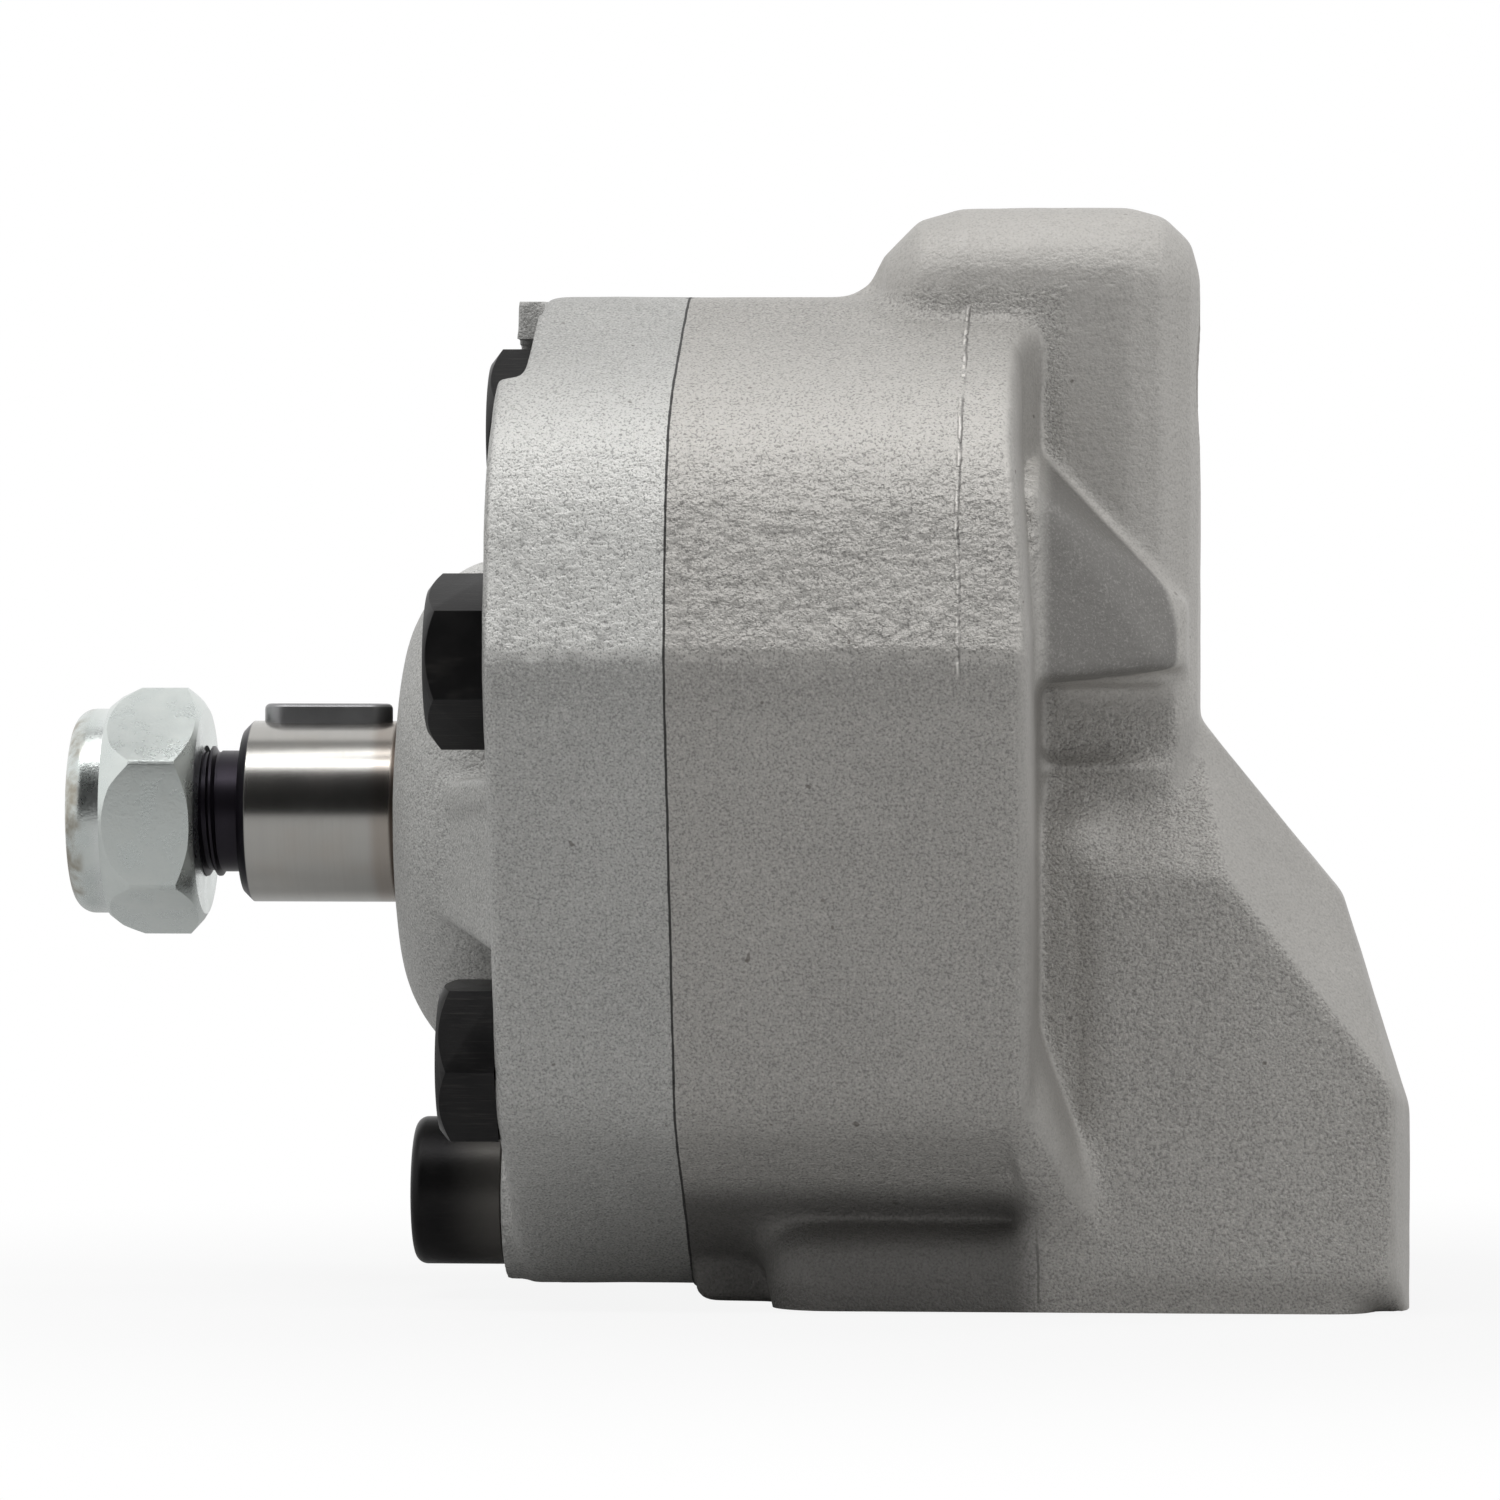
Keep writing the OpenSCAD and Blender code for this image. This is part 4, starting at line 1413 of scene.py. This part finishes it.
@dataclass
class Key:
    """The shaft's round-ended key."""

    edge: float = 0.6

    def build(self) -> bpy.types.Object:
        """Model and dress the key.

        Returns:
            The key.
        """
        low, high = (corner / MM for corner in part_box("shaft_key"))
        radius = (high.y - low.y) / 2
        Bench.clear()
        bpy.ops.mesh.primitive_cylinder_add(vertices=48, radius=radius, depth=high.z - low.z,
                                            location=(low.x + radius, low.y + radius, (low.z + high.z) / 2))
        key = bpy.context.object
        Bench.settle(key)
        for vertex in key.data.vertices:
            if vertex.co.x > low.x + radius + 0.01:
                vertex.co.x += high.x - low.x - 2 * radius
        Bench.modify(key, "BEVEL", width=self.edge, segments=4, angle_limit=math.radians(40))
        key.data.transform(Matrix.Scale(MM, 4))
        key = Bench.join("shaft_key_piece", [key])
        steel = PlainMetal("key_steel", (0.3, 0.3, 0.305), 0.38, 0.9, 0.2)
        Bench.dress(key, steel.build(), Shading.CRISP)
        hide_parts("shaft_key")
        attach(key, "drive_shaft")
        return key


@dataclass
class InnerPieces:
    """Solids that keep their shape and only get a finish."""

    def dress(self) -> None:
        """Give each remaining solid its material."""
        steel = GroundSteel("ground_steel", (0.62, 0.61, 0.59), None).build()
        bronze = PlainMetal("bronze", (0.55, 0.38, 0.18), 0.32).build()
        bush = PlainMetal("bush_metal", (0.42, 0.33, 0.22), 0.42).build()
        spring = PlainMetal("spring_steel", (0.12, 0.12, 0.12), 0.4).build()
        rubber = PlainMetal("seal_rubber", (0.02, 0.02, 0.02), 0.6, 0.0).build()
        nylon = PlainMetal("nylon", (0.6, 0.57, 0.48), 0.5, 0.0, 0.6).build()
        finishes = {
            steel: ("driven_gear_shaft", "dowel_pins"),
            bronze: ("front_wear_plate", "rear_wear_plate"),
            bush: ("drive_bush_front", "driven_bush_front", "drive_bush_rear", "driven_bush_rear"),
            spring: ("retaining_ring", "seal_spacer"),
            rubber: ("inner_shaft_seal", "outer_shaft_seal", "cover_seal_ring", "plate_seal_ring",
                     "outlet_seal_ring"),
            nylon: ("lock_nut_insert",),
        }
        for material, nodes in finishes.items():
            for node in nodes:
                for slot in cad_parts[node].material_slots:
                    slot.material = material


@dataclass
class Studio:
    """Camera, lamps, floor and backdrop."""

    lens: float = 185.6
    yaw: float = 3.86
    roll: float = 0.1
    camera_at: Triple = (19.7, -836.25, 59.34)
    ambient: float = 0.55
    floor_grey: float = 0.62

    def build(self) -> None:
        """Set up the view and the light."""
        self._camera()
        self._world()
        self._floor()
        self._card("front_card", (-125, -700, 530), (-125, 0, 530), 1000, 1060, 0.01)
        self._card("roof", (-60, -60, 900), (-60, -60, 0), 800, 560, 0.7)
        self._card("mat", (0, 0, -0.02), (0, 0, 9), 2200, 1400, 0.7, lights=True)
        self._lamp("front_strip", (-30, -285, 640), (0, 0, 55), (900, 80), 1.45)
        self._lamp("top_strip", (-30, 45, 700), (0, 0, 55), (900, 60), 0.8)
        scene = bpy.context.scene
        scene.view_settings.view_transform = "Standard"

    def _camera(self) -> None:
        """Place the camera."""
        data = bpy.data.cameras.new("camera")
        data.lens = self.lens
        data.sensor_width = 36
        data.clip_end = 20
        camera = bpy.data.objects.new("camera", data)
        bpy.context.scene.collection.objects.link(camera)
        turn = (Matrix.Rotation(math.radians(self.yaw), 4, "Z")
                @ Matrix.Rotation(math.radians(90), 4, "X")
                @ Matrix.Rotation(math.radians(self.roll), 4, "Z"))
        camera.matrix_world = Matrix.Translation(Vector(self.camera_at) * MM) @ turn
        bpy.context.scene.camera = camera

    def _world(self) -> None:
        """Make the backdrop white to the camera and in reflections, and dimmer as light."""
        world = bpy.data.worlds.new("studio")
        bpy.context.scene.world = world
        g = Graph("studio", world)
        light = g.node("ShaderNodeBackground", None, {"Strength": self.ambient})
        white = g.node("ShaderNodeBackground", None, {"Color": (1, 1, 1, 1), "Strength": 1.0})
        g.close(g.node("ShaderNodeMixShader", None, {0: g.seen(), 1: light, 2: white}))

    def _floor(self) -> None:
        """Lay the pale floor that the pump stands on, clear when seen from below."""
        Bench.clear()
        bpy.ops.mesh.primitive_plane_add(size=6, location=(0, 0, -0.00005))
        floor = bpy.context.object
        floor.name = "floor"
        g = Graph("floor")
        shade = g.node("ShaderNodeBsdfDiffuse", None, {"Color": (*[self.floor_grey] * 3, 1)})
        white = g.node("ShaderNodeEmission", None, {"Color": (1, 1, 1, 1), "Strength": 1.0})
        away = g.node("ShaderNodeVectorMath", {"operation": "LENGTH"}, {0: g.place()}, "Value")
        both = g.node("ShaderNodeMixShader", None,
                      {0: g.seen() * (away.step(0.05, 0.22) * 0.1 + 0.9), 1: shade, 2: white})
        below = g.node("ShaderNodeNewGeometry", out="Backfacing")
        clear = g.node("ShaderNodeBsdfTransparent")
        sides = g.node("ShaderNodeMixShader", None, {0: below, 1: both, 2: clear})
        floor.data.materials.append(g.close(sides))

    @staticmethod
    def _aimed(at: Sequence[float], aim: Sequence[float], axis: str) -> Matrix:
        """Return the placement at one point that turns an axis towards another point."""
        way = (Vector(aim) - Vector(at)).to_track_quat(axis, "Y")
        return Matrix.Translation(Vector(at) * MM) @ way.to_matrix().to_4x4()

    @staticmethod
    def _card(name: str, at: Sequence[float], aim: Sequence[float], width: float, height: float,
              grey: float, lights: bool = False) -> None:
        """Put up a card that the camera doesn't see and that metal mirrors.

        Args:
            name: The card's name.
            at: Its centre in millimetres.
            aim: The point it faces in millimetres.
            width: Its width in millimetres.
            height: Its height in millimetres.
            grey: Its brightness.
            lights: True where it also throws light back on the pump.
        """
        Bench.clear()
        bpy.ops.mesh.primitive_plane_add(size=1)
        card = bpy.context.object
        card.name = name
        card.data.transform(Matrix.Diagonal((width * MM, height * MM, 1, 1)))
        card.data.transform(Studio._aimed(at, aim, "Z"))
        card.visible_camera = False
        card.visible_shadow = False
        card.visible_diffuse = lights
        g = Graph(name)
        card.data.materials.append(g.close(g.node("ShaderNodeBsdfDiffuse", None,
                                                  {"Color": (grey, grey, grey, 1)})))

    @staticmethod
    def _lamp(name: str, at: Sequence[float], aim: Sequence[float], size: tuple[float, float],
              power: float) -> None:
        """Add a soft strip lamp.

        Args:
            name: The lamp's name.
            at: Its place in millimetres.
            aim: The point it faces in millimetres.
            size: Its length and width in millimetres.
            power: Its power in watts.
        """
        data = bpy.data.lights.new(name, "AREA")
        data.shape = "RECTANGLE"
        data.size, data.size_y = (side * MM for side in size)
        data.energy = power
        lamp = bpy.data.objects.new(name, data)
        bpy.context.scene.collection.objects.link(lamp)
        lamp.matrix_world = Studio._aimed(at, aim, "-Z")


def castings(layout: Layout) -> list[Casting]:
    """Describe the two castings.

    Args:
        layout: Stations of the pump.

    Returns:
        The cover and the body.
    """
    joint = Vector((layout.joint_x, 0, 0)) * MM
    joint_x, z = layout.joint_x, layout.axis_z
    screws = [(place, 10.2) for place in (*Fasteners.side_places, Fasteners.top_place)]
    screws.append((Fasteners.cap_place, 9.8))
    cover = Casting(
        "front_cover", "front_cover_casting", "housing",
        # The cover's band gain paints light on its upper flank band.
        CastSkin("cover_casting", (0.51, 0.507, 0.492), grain_mm=0.25, rough_lit_band=(0.0686, 0.084),
                 rough_depth_mm=0.6, band_light_gain=1.7, joint_x=joint_x * MM),
        machined=((joint, Vector((1, 0, 0))),),
        bores=(*(Bore.along_x(layout.lobe_x - 16, layout.lobe_x + 1, y, z + height, radius)
                 for (y, height), radius in screws),
               Bore.along_x(layout.hub_x - 1, joint_x, layout.half_cd, z, 13.8)),
        zones=(SoftZone((-66, 0, 98), (-55, 16, 112), 24),),
        ear_x=-58.6)
    body = Casting(
        "pump_body", "pump_body_casting", "housing",
        # The body's band gain paints light on its upper flank band; its skin also paints light on the boss,
        # and shade beside it and on the foot.
        BodySkin("body_casting", (0.47, 0.457, 0.436), grain_mm=0.27, rough_lit_band=(0.0686, 0.087),
                 rough_depth_mm=1.4, band_light_gain=1.45, joint_x=joint_x * MM,
                 seams=(Seam(-0.0123, 0.066, 0.1075), Seam(-0.0049, 0.0, 0.0125))),
        machined=((joint, Vector((-1, 0, 0))), (Vector((0, 0, 0)), Vector((0, 0, -1)))),
        bores=(Bore.along_x(joint_x + 24, joint_x + 56, 0, z + 46, 11.2),),
        zones=(SoftZone((-38, 8, 3), (-3, 25, 15), 110),
               SoftZone((-7, 10, 8), (10, 26, 60), 30),
               SoftZone((-4, 14, -3), (34, 30, 9), 30),
               SoftZone((-28, 0, 97), (-2, 22, 109), 16),
               SoftZone((-7, 20, 60), (13, 40, 100), 6)),
        port=Port(joint_x + 54.4, z + 46))
    return [cover, body]


def main() -> None:
    """Build every piece in order."""
    logging.basicConfig(level=logging.INFO, format="%(name)s: %(message)s")
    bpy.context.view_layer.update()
    layout = Layout.read()
    Studio().build()
    LOG.info("studio")
    for casting in castings(layout):
        made = casting.build()
        LOG.info("%s, %d faces", made.name, len(made.data.polygons))
    Fasteners().build(layout)
    LOG.info("%s", LockNut().build(layout).name)
    LOG.info("%s", DriveShaft().build(layout).name)
    LOG.info("%s", Key().build().name)
    InnerPieces().dress()
    LOG.info("inner pieces")


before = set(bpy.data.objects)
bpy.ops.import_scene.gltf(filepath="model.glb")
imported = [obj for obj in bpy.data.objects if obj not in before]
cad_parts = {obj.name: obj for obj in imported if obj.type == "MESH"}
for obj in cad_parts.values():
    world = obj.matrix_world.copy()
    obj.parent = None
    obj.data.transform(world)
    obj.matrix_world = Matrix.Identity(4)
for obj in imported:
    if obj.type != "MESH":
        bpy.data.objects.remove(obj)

if __name__ == "__main__":
    main()
